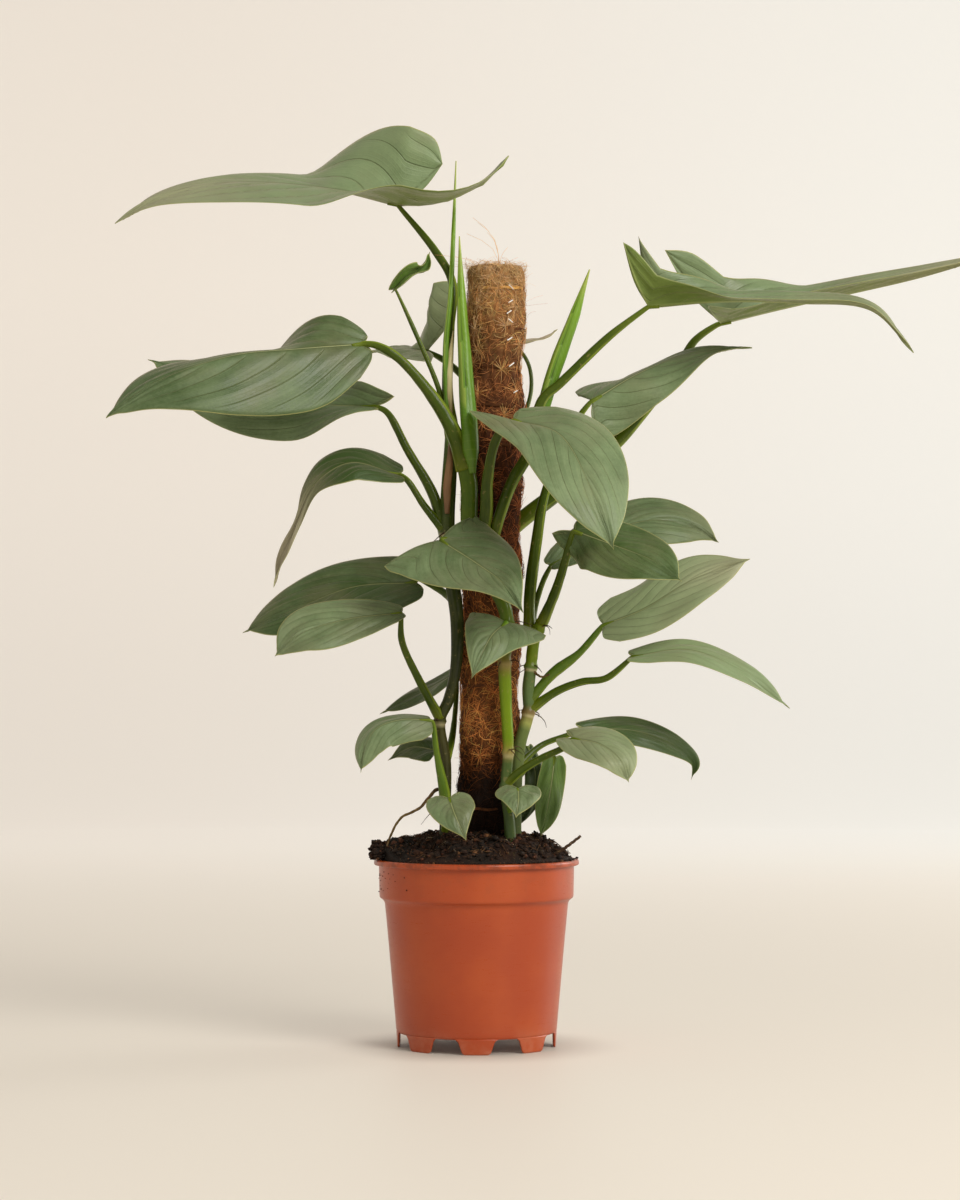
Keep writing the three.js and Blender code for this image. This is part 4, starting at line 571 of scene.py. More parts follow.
BLADES = {
    "leaf_top_left": blade(
        spine=[[-65, -8, 697], [-121, -16, 709], [-203, -26, 712], [-259, -32, 700], [-296, -34, 677]],
        face=[[0, -0.4, 1], [0, -0.45, 1]], half=66, shape="arrow", lobe=[0.4, 0.12], lift=[70, 0],
        fold=[[22, 26, -2, -14], [70, 68, -2, -4]], curl=[[0, 0, -4, -6], [10, 10, -4, -8]],
    ),
    "leaf_young_curled": blade(
        spine=[[-67, -24, 625], [-57, -26, 634], [-45, -22, 642], [-38, -26, 655]],
        face=[[0.4, -0.7, 0.6], [0.5, -0.7, 0.4]], half=12, shape="long", lobe=[0.1, 0.1],
        fold=[[66, 70, 70, 60], [58, 60, 60, 50]],
    ),
    "leaf_behind_pole": blade(
        spine=[[-42, 74, 586], [-70, 80, 589], [-101, 84, 585]],
        face=[[0, -0.1, 1], [0, -0.1, 1]], half=60, shape="wide", lobe=[0.3, 0.45],
        fold=[[-8, -8, -12, -6], [88, 88, 2, 0]],
    ),
    "leaf_behind_pole_right": blade(
        spine=[[20, 54, 588], [44, 58, 592], [60, 61, 596], [69, 63, 603]],
        face=[[0, -0.3, 1], [-0.3, -0.3, 1]], half=8, shape="long", lobe=[0.06, 0.06],
        fold=SHALLOW,
    ),
    "leaf_upper_left": blade(
        spine=[[-93, -45, 577], [-142, -66, 571], [-198, -88, 562], [-259, -104, 537], [-293, -112, 510]],
        face=[[0.1, -0.6, 0.85], [0, -0.8, 0.7]], half=55, shape="taper", lobe=[0.03, 0.03],
        fold=[[-30, -30, -30, -16], [30, 30, -34, -16]], curl=DROOP, wave=1,
    ),
    "leaf_upper_left_rear": blade(
        spine=[[-87, -5, 530], [-147, 12, 536], [-215, 28, 555], [-277, 36, 574]],
        face=[[0, -0.7, 0.8], [0, -0.7, 0.8]], half=40, shape="paddle", lobe=[0.04, 0.1], lift=[0, 30],
        fold=[[20, 25, -25, -10], [40, 40, -25, -10]], curl=DROOP, wave=1, phase=1,
    ),
    "leaf_hanging": blade(
        spine=[[-65, -15, 473], [-104, -24, 482], [-134, -30, 462], [-147, -34, 430], [-160, -36, 401],
            [-166, -36, 379]],
        face=[[0.1, -0.5, 0.9], [-0.9, -0.5, 0]], half=27, shape="tail", lobe=[0.03, 0.03],
        fold=SHALLOW, curl=DROOP,
    ),
    "leaf_mid_left": blade(
        spine=[[-51, 8, 385], [-103, 4, 381], [-147, 4, 364], [-195, 8, 343]],
        face=[[0, -0.8, 0.7], [0, -0.75, 0.75]], half=33, shape="blunt", lobe=[0.04, 0.04],
        fold=SHALLOW, curl=DROOP,
    ),
    "leaf_mid_left_front": blade(
        spine=[[-61, -48, 358], [-106, -60, 352], [-142, -70, 340], [-162, -76, 322]],
        face=[[0, -0.7, 0.7], [-0.2, -0.9, 0.4]], half=24, shape="paddle", lobe=[0.02, 0.02],
        fold=SHALLOW, curl=DROOP,
    ),
    "leaf_front_arrow": blade(
        spine=[[-29, -72, 416], [3, -100, 394], [22, -122, 378], [37, -136, 355]],
        face=[[-0.1, -0.56, 0.8], [-0.1, -0.7, 0.7]], half=51, shape="wide", lobe=[0.12, 0.12],
        fold=FLAT, curl=DROOP,
    ),
    "leaf_front_small": blade(
        spine=[[24, -50, 350], [11, -76, 337], [-4, -90, 304]],
        face=[[0.06, -0.6, 0.8], [0.1, -0.9, 0.4]], half=34, shape="wide", lobe=[0.14, 0.14],
        fold=FLAT, curl=DROOP,
    ),
    "leaf_front_large": blade(
        spine=[[30, -66, 513], [67, -106, 497], [92, -140, 446], [107, -150, 404]],
        face=[[0, -0.4, 0.9], [0.3, -0.9, 0.4]], half=40, shape="blunt", lobe=[0.05, 0.24],
        fold=[[20, 20, 10, 4], [12, 12, 6, 4]], curl=DROOP,
    ),
    "leaf_upper_right": blade(
        spine=[[96, -8, 535], [136, -2, 559], [186, 6, 578], [230, 12, 581]],
        face=[[0, -0.5, 0.9], [0, -0.4, 0.9]], half=36, shape="arrow", lobe=[0.03, 0.08],
        fold=[[0, 0, -20, -10], [-46, -46, -28, 16]], curl=DROOP,
    ),
    "leaf_top_right": blade(
        spine=[[141, -30, 610], [199, -42, 613], [263, -52, 610], [320, -58, 603], [354, -60, 568]],
        face=[[0, -0.2, 1], [0, -0.3, 1]], half=37, shape="horned", lobe=[0.02, 0.06],
        fold=[[92, 84, 16, 24], [58, 52, 10, 20]], curl=[[0, 0, -14, 0], [30, 24, -8, 0]],
    ),
    "leaf_top_right_rear": blade(
        spine=[[206, 38, 605], [256, 32, 617], [310, 24, 628], [372, 14, 641], [436, 4, 659]],
        face=[[0, -0.3, 1], [0, -0.3, 1]], half=46, shape="horned", lobe=[0.13, 0.03],
        fold=[[94, 88, 22, 30], [16, 22, 22, 24]], curl=[[0, 0, -20, 0], [0, 0, 0, 0]],
    ),
    "leaf_mid_right": blade(
        spine=[[79, -62, 424], [110, -84, 411], [140, -98, 398], [163, -106, 381]],
        face=[[0, -0.7, 0.7], [0, -0.7, 0.7]], half=29, shape="blunt", lobe=[0.05, 0.2],
        fold=[[10, 10, 8, 4], [-60, -60, -8, 2]], curl=DROOP,
    ),
    "leaf_mid_right_rear": blade(
        spine=[[62, -8, 399], [100, 4, 422], [145, 14, 437], [182, 20, 432], [203, 22, 419]],
        face=[[-0.3, -0.8, 0.6], [0, -0.8, 0.6]], half=27, shape="paddle", lobe=[0.02, 0.02],
        fold=SHALLOW, curl=DROOP,
    ),
    "leaf_right_wide": blade(
        spine=[[105, -14, 349], [138, -22, 362], [178, -26, 386], [225, -24, 403]],
        face=[[-0.4, -0.85, 0.5], [-0.3, -0.85, 0.5]], half=26, shape="blunt", lobe=[0.02, 0.02],
        fold=SHALLOW, curl=DROOP,
    ),
    "leaf_right_long": blade(
        spine=[[129, -16, 323], [175, -26, 328], [220, -34, 309], [256, -38, 280]],
        face=[[0, -0.5, 0.8], [0.2, -0.6, 0.8]], half=17, shape="long", lobe=[0.03, 0.03],
        fold=SHALLOW, curl=DROOP,
    ),
    "leaf_low_right": blade(
        spine=[[78, -51, 256], [100, -70, 251], [115, -84, 239], [122, -86, 221]],
        face=[[0, -0.7, 0.8], [0.3, -0.85, 0.5]], half=22, shape="blunt", lobe=[0.16, 0.16],
        fold=SHALLOW, curl=DROOP,
    ),
    "leaf_low_right_rear": blade(
        spine=[[88, 0, 263], [134, 14, 261], [168, 22, 248], [183, 24, 234], [180, 24, 220]],
        face=[[0, -0.6, 0.8], [0.5, -0.7, 0.3]], half=16, shape="long", lobe=[0.04, 0.04],
        fold=SHALLOW, curl=DROOP,
    ),
    "leaf_low_hanging": blade(
        spine=[[65, 6, 239], [62, 2, 216], [58, -2, 194], [53, -4, 173]],
        face=[[0.3, -0.9, 0.2], [0.3, -0.9, 0.1]], half=12, shape="blunt", lobe=[0.04, 0.04],
        fold=SHALLOW, curl=DROOP,
    ),
    "leaf_low_front": blade(
        spine=[[34, -48, 215], [34, -62, 206], [32, -68, 192]],
        face=[[0, -0.6, 0.8], [0, -1, 0.2]], half=19, shape="heart", lobe=[0.2, 0.2],
        fold=FLAT, curl=DROOP,
    ),
    "leaf_low_centre": blade(
        spine=[[-22, -52, 207], [-17, -70, 194], [-8, -76, 174]],
        face=[[0, -0.7, 0.7], [0, -1, 0.2]], half=20, shape="heart", lobe=[0.16, 0.16],
        fold=FLAT, curl=DROOP,
    ),
    "leaf_low_left": blade(
        spine=[[-38, -39, 271], [-62, -46, 271], [-81, -50, 264], [-90, -52, 250], [-94, -54, 228]],
        face=[[0, -0.6, 0.8], [-0.6, -0.7, 0.3]], half=20, shape="blunt", lobe=[0.02, 0.02],
        fold=[[-30, -30, -30, -10], [-20, -20, -20, -10]], curl=DROOP,
    ),
    "leaf_low_left_rear": blade(
        spine=[[-34, 22, 245], [-55, 34, 247], [-75, 40, 236]],
        face=[[0, -0.7, 0.7], [0, -0.7, 0.7]], half=16, shape="heart", lobe=[0.04, 0.04],
        fold=SHALLOW, curl=DROOP,
    ),
    "leaf_left_behind_stem": blade(
        spine=[[-16, 26, 310], [-43, 36, 295], [-82, 42, 275]],
        face=[[0, -0.5, 0.85], [0, -0.5, 0.85]], half=15, shape="long", lobe=[0.04, 0.04],
        fold=SHALLOW, curl=DROOP,
    ),
    "leaf_low_strip": blade(
        spine=[[43, 23, 247], [49, 16, 225], [45, 10, 201], [34, 6, 181]],
        face=[[0.2, -0.6, 0.6], [0.4, -0.9, 0.1]], half=9, shape="long", lobe=[0.04, 0.04],
        fold=SHALLOW, curl=DROOP,
    ),
}

ROLLED_LEAVES = {
    "rolled_leaf_left": dict(
        points=[[-23, -24, 505], [-25, -28, 575], [-21, -27, 622], [-19, -14, 672], [-17, -2, 734]],
        radii=[2.6, 2.6, 2.2, 1.8, 0.5], sides=6, steps=8,
    ),
    "rolled_leaf_front": dict(
        points=[[-4, -42, 486], [-7, -36, 532], [-12, -32, 614], [-14, -30, 667]],
        radii=[7.2, 7.0, 5.4, 3.6, 0.5], sides=7, steps=8,
    ),
    "rolled_leaf_right": dict(
        points=[[51, -23, 512], [64, -21, 557], [79, -21, 598], [93, -22, 641]],
        radii=[4, 5.6, 5.8, 4.4, 0.6], sides=7, steps=8,
    ),
}

AERIAL_ROOTS = {
    "aerial_root_left": dict(
        points=[[-27, -18, 214], [-33, -20, 213], [-47, -22, 198], [-62, -22, 190], [-69, -22, 179],
            [-74, -22, 166]],
        radii=[1.6, 1.2, 1, 0.9], sides=5, steps=9,
    ),
    "aerial_root_right": dict(
        points=[[45, -13, 314], [50, -18, 308], [54, -20, 306], [60, -22, 308]],
        radii=[1.2, 0.9, 0.8], sides=5, steps=5,
    ),
}


# Leaf blades

# Rows down a blade's lobe and its length, columns from its midrib out, and side veins to a half.
LOBE_ROWS, BLADE_ROWS, BLADE_COLUMNS, SIDE_VEINS = 12, 64, 16, 7


def number_of(name, span):
    """A steady number below span for a name, so that each piece has a pattern of its own."""
    return sum(map(ord, name)) % span


def spline_2d(points, share):
    """An even spline through flat points, read at shares of its count of gaps."""
    p = np.asarray(points, float)
    place = np.asarray(share, float) * (len(p) - 1)
    first = np.minimum(place.astype(int), len(p) - 2)
    t = (place - first)[..., None]
    before, start = p[np.maximum(first - 1, 0)], p[first]
    end, after = p[first + 1], p[np.minimum(first + 2, len(p) - 1)]
    leaving, arriving = (end - before) / 2, (after - start) / 2
    cube = (2 * start - 2 * end + leaving + arriving) * t**3
    return cube + (-3 * start + 3 * end - 2 * leaving - arriving) * t**2 + leaving * t + start


def along_stops(values, along):
    """A smooth value through the stops: the lobe's end, the joint, a third of the way, and the tip."""
    after = np.clip(np.searchsorted(STOPS, along), 1, len(STOPS) - 1)
    share = eased((along - STOPS[after - 1]) / (STOPS[after] - STOPS[after - 1]))
    values = np.asarray(values, float)
    return values[after - 1] + (values[after] - values[after - 1]) * share


def bend_blade(leaf, spine, across, along, side):
    """Carries points of the flat blade to their places on the bent one, as the solids do."""
    share = np.clip(along / spine.length, 0, 1)
    tangent = spine.tangent(share)
    base, tip = (np.array(face, float) for face in leaf["face"])
    up = base + (tip - base) * share[:, None]
    up = unit(up - tangent * np.sum(up * tangent, axis=1, keepdims=True))
    right = np.cross(tangent, up)
    place = spine.at(share)
    back = leaf["lobe"][side] * spine.length
    lift = math.radians(leaf["lift"][side]) + 1e-4
    turn = (lift * np.maximum(-along, 0) / back)[:, None]
    place = place - tangent * np.sin(turn) * back / lift + up * (1 - np.cos(turn)) * back / lift
    t = along / spine.length
    fold = np.radians(along_stops(leaf["fold"][side], t))
    curl = np.radians(along_stops(leaf["curl"][side], t)) + 1e-4
    width = np.abs(across)
    half = leaf["half"]
    turned = fold + curl * width / half
    reach = half / curl * (np.sin(turned) - np.sin(fold))
    rise = half / curl * (np.cos(fold) - np.cos(turned))
    ripple = leaf["wave"] * (width / half) ** 2 * np.sin(9 * t + 2.1 * side + leaf["phase"])
    return place + right * (np.sign(across) * reach)[:, None] + up * (rise + ripple)[:, None]


def half_blade(leaf, length, side):
    """The flat grid of one half: rows from the lobe's end to the tip, each from midrib to margin."""
    back = leaf["lobe"][side] * length
    outline = np.array(OUTLINES[leaf["shape"]], float)
    outline[:, 0] *= leaf["half"]
    outline[:, 1] *= np.where(outline[:, 1] < 0, back, length)
    lobe_share = np.arange(LOBE_ROWS) / LOBE_ROWS
    share = np.arange(BLADE_ROWS + 1) / BLADE_ROWS
    notch = [outline[0], [outline[0][0] * 0.42, -0.62 * back], [0, 0]]
    midrib = np.stack([np.zeros(BLADE_ROWS + 1), length * share], -1)
    inner = np.vstack([spline_2d(notch, lobe_share), midrib])
    outer = np.vstack([spline_2d(outline[:3], lobe_share), spline_2d(outline[2:], share)])
    column = (np.arange(BLADE_COLUMNS + 1) / BLADE_COLUMNS)[None, :, None]
    flat = inner[:, None] + (outer - inner)[:, None] * column
    width = np.linalg.norm(outer - inner, axis=1)
    row = np.concatenate([(lobe_share - 1) * leaf["lobe"][side], share])
    return flat, width, row


def blade_surface(leaf):
    """The bent blade as one skin of quads, with what its finish needs to know at each point."""
    spine = Line(leaf["spine"])
    keys, flats, faces, facts = [], [], [], []
    count = LOBE_ROWS + BLADE_ROWS + 1
    across_count = BLADE_COLUMNS + 1
    for side in (0, 1):
        sign = 1 if side else -1
        flat, width, row = half_blade(leaf, spine.length, side)
        column = np.broadcast_to(np.arange(across_count) / BLADE_COLUMNS, flat.shape[:2])
        row = np.broadcast_to(row[:, None], column.shape)
        width = np.broadcast_to(width[:, None], column.shape)
        across, along = flat[..., 0].ravel() * sign, flat[..., 1].ravel()
        lobe_vein = np.abs(column - 0.4 * np.maximum(-row, 0) / max(leaf["lobe"][side], 0.01))
        rib = np.where(row < 0, lobe_vein * width, column * width)
        margin = np.where(row < 0, np.minimum(column, 1 - column) * width, (1 - column) * width)
        margin = np.where(np.abs(along).reshape(column.shape) < 2.0, (1 - column) * width, margin)
        vein = (row - 0.38 * column**1.4 + 0.03 * side) * SIDE_VEINS
        places = bend_blade(leaf, spine, across, along, side)
        flats.append(places)
        keys.append(np.stack([across + 0.0, along], -1))
        known = (column, row, rib, margin, vein, width, side + 0 * row)
        facts.append(np.stack([numbers.ravel() for numbers in known], -1))
        grid = (np.arange(count * across_count) + side * count * across_count).reshape(count, across_count)
        quads = np.stack([grid[:-1, :-1], grid[:-1, 1:], grid[1:, 1:], grid[1:, :-1]], -1).reshape(-1, 4)
        faces.append(quads if side else quads[:, ::-1])
    keys = np.round(np.vstack(keys), 3) + 0.0
    _, first, index = np.unique(keys, axis=0, return_index=True, return_inverse=True)
    index = index.ravel()
    places, facts = np.vstack(flats)[first], np.vstack(facts)[first]
    quads = index[np.vstack(faces)]
    normals = np.zeros_like(places)
    normal = np.cross(places[quads[:, 2]] - places[quads[:, 0]], places[quads[:, 3]] - places[quads[:, 1]])
    for corner in range(4):
        np.add.at(normals, quads[:, corner], normal)
    trimmed = []
    for quad in quads.tolist():
        kept = [corner for k, corner in enumerate(quad) if corner != quad[k - 1]]
        if len(kept) > 2:
            trimmed.append(tuple(kept))
    return places, unit(normals), trimmed, facts


def add_leaf(name, finish):
    """A blade 0.8 mm thick and 0.3 mm at its margin, with a grooved midrib and quilted side veins."""
    leaf = BLADES[name]
    places, normals, faces, facts = blade_surface(leaf)
    column, row, rib, margin, vein, width, side = facts.T
    room = np.minimum(1.0, width / 14)
    thick = 0.16 + 0.22 * eased(margin / 5)
    quilt = np.abs(np.sin(vein * math.pi)) ** 0.7 - 0.6
    quilt *= 1.4 * min(1.1, leaf["half"] / 42) ** 1.5 * room * eased(column * 4) * eased((1 - column) * 3)
    size = min(1.0, leaf["half"] / 36)
    swell = 1.3 * np.sin(row * 7 + column * 3 + leaf["half"]) * np.sin(row * 4 - column * 4 + side * 2.1)
    twist = 0.5 * np.sin(vein * 1.9 + 4 * leaf["phase"] + leaf["half"]) * eased(column * 1.4)
    sway = swell * room * eased(column * 1.6) + twist * room
    taper = np.clip(1.08 - np.clip(row, 0, 1), 0, 1)
    keel = (0.4 + 1.5 * taper) * size * np.exp(-((rib / (0.7 + 1.5 * taper * size)) ** 2))
    keel *= np.where(row < 0, 0.5, 1.0)
    groove = 0.75 * (0.3 + taper) * size * np.exp(-((rib / 1.5) ** 2)) * np.where(row < 0, 0.3, 1.0)
    shift = quilt + sway
    top = places + normals * (shift + thick - groove)[:, None]
    low = places + normals * (shift - thick - keel)[:, None]
    count = len(places)
    closed = list(faces) + [tuple(corner + count for corner in reversed(face)) for face in faces]
    edges = set()
    for face in faces:
        for k, corner in enumerate(face):
            step = (face[k - 1], corner)
            if step[::-1] in edges:
                edges.remove(step[::-1])
            else:
                edges.add(step)
    closed.extend((a, a + count, b + count, b) for a, b in edges)
    values = {
        "column": column, "row": row, "rib": rib, "margin": margin, "vein": vein,
        "seed": np.full(count, number_of(name, 97) / 97.0),
        "tone": np.full(count, TONES.get(name, USUAL_TONE)),
        "fresh": np.full(count, FRESHNESS.get(name, 0.0)),
    }
    # How pale taupe the blade is, from dry tissue and from painted sheen, eased from foot to tip.
    taupe_foot, taupe_tip = DRYNESS_AND_SHEEN.get(name, (0.0, 0.0))
    values["dry"] = taupe_foot + (taupe_tip - taupe_foot) * eased(row * 2.4 - 0.7)
    values = {key: np.tile(numbers, 2) for key, numbers in values.items()}
    values["upper"] = np.repeat([1.0, 0.0], count)
    return add_mesh(name + "_fine", np.vstack([top, low]), closed, finish, [name], values)


def leaf_finish(name, lit, deep):
    """Waxy blade: silvery green over darker green, the darker partly painted shade, pale veins and margin,
    olive below.
    """
    skin = Finish(name, {
        "Specular IOR Level": 0.38, "Sheen Weight": 0.3, "Sheen Roughness": 0.4,
        "Sheen Tint": colour(206, 184, 160), "Coat Weight": 0.04, "Coat Roughness": 0.25,
    })
    column, row, rib, margin = (skin.value(key) for key in ("column", "row", "rib", "margin"))
    vein, tone, upper, seed = (skin.value(key) for key in ("vein", "tone", "upper", "seed"))
    patches = skin.noise(26.0, 4.0, 0.6)
    grain = skin.noise(420.0, 3.0, 0.6)
    streaks = skin.noise(1.0, 3.0, 0.6, skin.flat(vein * 2.2 + seed * 31.0, column * 0.9))
    level = tone + (patches - 0.5) * 0.6 + (streaks - 0.5) * 0.3 + (grain - 0.5) * 0.2
    # Painted shade: each blade's tone mixes it from the lit colour towards the deep one.
    body = skin.mix(skin.smooth(level, 0.12, 0.95), deep, lit)
    # Painted sheen: soft taupe patches over the upper face.
    taupe = skin.smooth(skin.noise(19.0, 3.0, 0.5) + streaks * 0.25, 0.55, 0.85)
    body = skin.mix(taupe * 0.3, body, colour(122, 114, 88))
    dry, fresh = skin.value("dry"), skin.value("fresh")
    grass = skin.mix(skin.smooth(level, 0.0, 0.7), colour(46, 72, 12), colour(92, 126, 34))
    body = skin.mix(fresh, body, grass)
    # Pale taupe over the upper face: dry tissue, and painted sheen where the blade is seen at a grazing
    # angle.
    body = skin.mix(dry, body, colour(186, 170, 146))
    wave = skin.math("SINE", vein * math.pi)
    line = skin.smooth(skin.math("ABSOLUTE", wave), 0.0, 0.14, (1.0, 0.0))
    line = line * skin.smooth(column, 0.02, 0.16) * skin.smooth(column, 0.72, 1.0, (1.0, 0.0))
    fine = skin.math("ABSOLUTE", skin.math("SINE", vein * math.pi * 5.0 + (streaks - 0.5) * 3.0))
    fine = skin.smooth(fine, 0.0, 0.5, (1.0, 0.0)) * skin.smooth(column, 0.1, 0.3)
    body = skin.mix(line * 0.5, body, colour(84, 92, 50))
    body = skin.mix(fine * 0.03, body, colour(158, 168, 130))
    # Painted shade: a darker band along both sides of the midrib, in its groove.
    groove_shade = skin.smooth(rib, 0.4, 2.4, (1.0, 0.0)) * skin.smooth(row, -0.4, 0.0)
    body = skin.mix(groove_shade * 0.6, body, colour(72, 82, 42))
    thread = skin.smooth(rib, 0.1, 0.6, (1.0, 0.0)) * skin.smooth(row, -0.4, 0.0)
    body = skin.mix(thread * skin.smooth(row, 0.1, 1.0, (0.75, 0.4)), body, colour(170, 176, 122))
    rim = skin.smooth(margin, 0.25, 1.0, (1.0, 0.0))
    body = skin.mix(rim * 0.7, body, colour(172, 172, 104))
    below = skin.mix(skin.smooth(level, 0.2, 0.9), colour(70, 90, 24), colour(114, 134, 60))
    # The same pale taupe below: dry tissue and painted sheen.
    below = skin.mix(dry, below, colour(196, 182, 158))
    below = skin.mix(line * 0.35, below, colour(140, 150, 96))
    below = skin.mix(skin.smooth(rib, 0.5, 2.6, (0.85, 0.0)), below, colour(150, 164, 96))
    below = skin.mix(rim * 0.5, below, colour(178, 184, 132))
    specks = skin.smooth(skin.noise(1500.0, 1.0, 0.5), 0.72, 0.78)
    body = skin.mix(specks * 0.12, body, colour(200, 200, 170))
    skin.set("Base Color", skin.mix(upper, below, body))
    skin.set("Roughness", skin.smooth(grain * 0.6 + patches, 0.55, 1.0, (0.36, 0.54)))
    cells = skin.noise(900.0, 2.0, 0.5) * 0.15 + fine * 0.08 + line * -0.7 + thread * 0.3
    skin.bump(cells, 0.0016, 0.6)
    return skin.material


# Stems, rolled leaves and roots


def shades_along(stops, share):
    """Colours read from stops of (share, colour) at each share."""
    places = [place for place, _ in stops]
    shades = np.array([shade for _, shade in stops])
    return np.stack([np.interp(share, places, shades[:, k]) for k in range(4)], -1)


def stem_tube(batch, line, radii, sides, steps, shades, seed, gloss, rings=(), flare=0.0, pale=0.0):
    """One stem or petiole with swollen rings at its nodes and, where it leaves a stem, a clasping base."""
    ridges = 0.03
    points = line.at(np.linspace(0, 1, steps))
    places = np.linspace(0, 1, len(radii))

    def radius(share, angle):
        reach = np.interp(share, places, radii)
        for ring in rings:
            gap = (share - ring) * line.length
            reach = reach + 1.1 * np.exp(-((gap / 2.2) ** 2)) - 0.35 * np.exp(-(((gap - 4.5) / 1.6) ** 2))
        reach = reach * (1 + flare * (1 - eased(share * line.length / 22)) * (0.75 + 0.25 * np.cos(angle)))
        wobble = 0.5 * np.sin(share * 31 + seed) + 0.5 * np.sin(share * 57 + 2 * angle + seed)
        return reach * (1 + ridges * np.sin(5 * angle + seed) + 0.025 * wobble)

    mesh_points, faces, share, angle = sweep(points, radius, sides)
    skins = shades_along(shades, share)
    scar = sum(np.exp(-(((share - ring) * line.length + 2.6) / 1.0) ** 2) for ring in rings) if rings else 0.0
    # The pale value is the strength of the petiole's lime lines, partly painted edge highlights.
    batch.add(
        mesh_points, faces, skins,
        run=share * line.length, turn=angle, scar=scar, gloss=gloss, seed=seed, pale=pale,
    )


def share_at_height(line, height):
    """How far along a line it comes nearest to a height."""
    tries = np.linspace(0, 1, 400)
    heights = np.interp(tries, line.distance / line.length, line.points[:, 2])
    return float(np.argmin(np.abs(heights - height)) / (len(tries) - 1))


def add_stem(name, finish):
    """A stem and its petioles as one piece, coloured from its foot up."""
    batch = Batch()
    stem = STEMS[name]
    line = Line(stem["line"])
    bottom, top = stem["line"][0][2], stem["line"][-1][2]
    stops = [(share_at_height(line, min(max(z, bottom), top)), shade) for z, shade in STEM_SHADES[name]]
    rings = [share_at_height(line, height) for height in stem["nodes"]]
    seed = float(len(name) + stem["nodes"][0] % 7)
    gloss = 0.8 if name == "stem_left" else 0.5
    stem_tube(batch, line, stem["radii"], 24, 130, stops, seed, gloss, rings)
    for leaf, petiole in PETIOLES.items():
        if petiole["stem"] != name:
            continue
        spine = Line(BLADES[leaf]["spine"])
        joint = petiole["line"][-1]
        reach = spine.at(min(0.16, 9 / spine.length)) - np.array(BLADES[leaf]["face"][0]) * 1.2
        line = Line(petiole["line"] + [(np.array(joint) + spine.at(0) * 2) / 3 + [0, 0, -0.3], reach])
        pale, green = PETIOLE_SHADES.get(leaf, USUAL_PETIOLE)
        shades = [(0.0, pale), (0.16, green), (0.8, green), (1.0, colour(90, 108, 26))]
        radii = petiole["radii"] + [petiole["radii"][-1] * 0.9, petiole["radii"][-1] * 0.42]
        steps = int(24 + line.length / 4)
        seed = float(number_of(leaf, 13))
        # pale=0.6 turns on the lime lines, partly painted edge highlights.
        stem_tube(batch, line, radii, 16, steps, shades, seed, 0.6, flare=0.22, pale=0.6)
    return batch.make(name + "_fine", finish, "stem", [name])


def add_rolled_leaf(name, finish):
    """A leaf still rolled into a spear: one turn of blade, lapped over itself along its length."""
    shape = ROLLED_LEAVES[name]
    foot, above = (np.array(point, float) for point in shape["points"][:2])
    root = foot - unit(above - foot) * 14 + np.array([0, 4.0, 0])
    points = Line([root] + shape["points"]).at(np.linspace(0, 1, 130))
    places = np.linspace(0, 1, len(shape["radii"]))
    batch = Batch()

    def radius(share, angle):
        reach = np.interp(share, places, shape["radii"]) * (0.45 + 0.55 * eased(share * 9))
        lap = np.mod(angle + 1.2 * share + 4.5, 2 * math.pi) / (2 * math.pi)
        wing = 0.22 * np.sin(share * math.pi) ** 0.6
        return reach * (0.9 + wing * lap + 0.02 * np.sin(share * 23 + 3 * angle))

    mesh_points, faces, share, angle = sweep(points, radius, 28)
    lap = np.mod(angle + 1.2 * share + 4.5, 2 * math.pi) / (2 * math.pi)
    shades = shades_along([
        (0.0, colour(84, 116, 24)), (0.25, colour(78, 118, 16)), (0.8, colour(112, 150, 38)),
        (1.0, colour(170, 180, 90)),
    ], share)
    lap = 0.4 + (lap - 0.4) * eased((share - 0.12) * 5)
    batch.add(mesh_points, faces, shades, lap=lap, run=share)
    return batch.make(name + "_fine", finish, "young_leaf", [name])


def add_root(name, points, radii, finish, shades, nodes):
    """A crooked root or twig with a rough skin."""
    batch = Batch()
    places = np.linspace(0, 1, len(radii))

    def radius(share, angle):
        rough = 1 + 0.12 * np.sin(share * 40 + angle) + 0.08 * np.sin(share * 83 - 2 * angle)
        return np.interp(share, places, radii) * rough

    mesh_points, faces, share, angle = sweep(Line(points).at(np.linspace(0, 1, 60)), radius, 12)
    batch.add(mesh_points, faces, shades_along(shades, share), run=share, turn=angle)
    return batch.make(name, finish, "root_and_twig", nodes)


def add_sheath(batch, points, widths, shades):
    """A dry papery leaf sheath: a strip that is cupped across and stands off its stem."""
    cup, half_thick = 1.2, 0.18
    steps, columns = 40, 11
    share = np.linspace(0, 1, steps)
    line = Line(points).at(share)
    _, across, out = carried_frames(line)
    width = np.interp(share, np.linspace(0, 1, len(widths)), widths)
    places = []
    for k in np.linspace(-1, 1, columns):
        ruffle = 0.35 * np.sin(share * 22 + 3 * k) * abs(k)
        lift = cup * (1 - k * k) + ruffle
        places.append(line + across * (width * k)[:, None] + out * lift[:, None])
    grid = np.stack(places, 1)
    outer, inner = grid + out[:, None] * half_thick, grid - out[:, None] * half_thick
    both = np.concatenate([outer, inner[:, ::-1]], 1)
    sides = 2 * columns
    share = np.repeat(share, sides)
    batch.add(
        both.reshape(-1, 3), ring_faces(steps, sides), shades_along(shades, share),
        run=share, turn=np.tile(np.linspace(0, 6, sides), steps),
    )


# Where short roots break out: the stem, the height and how many.
NODE_ROOTS = [
    ("stem_front", 246, 3), ("stem_front", 319, 4), ("stem_front", 351, 5), ("stem_left", 271, 5),
    ("stem_left", 426, 3), ("stem_left", 200, 4), ("stem_right", 278, 3), ("stem_right", 315, 4),
    ("stem_right", 346, 3), ("stem_back", 372, 4),
]


def wiry(thick):
    """The radius of a thin root that narrows to its tip."""

    def radius(share, angle):
        return thick * (1.05 - 0.75 * share) + 0.06 * np.sin(30 * share + angle)

    return radius


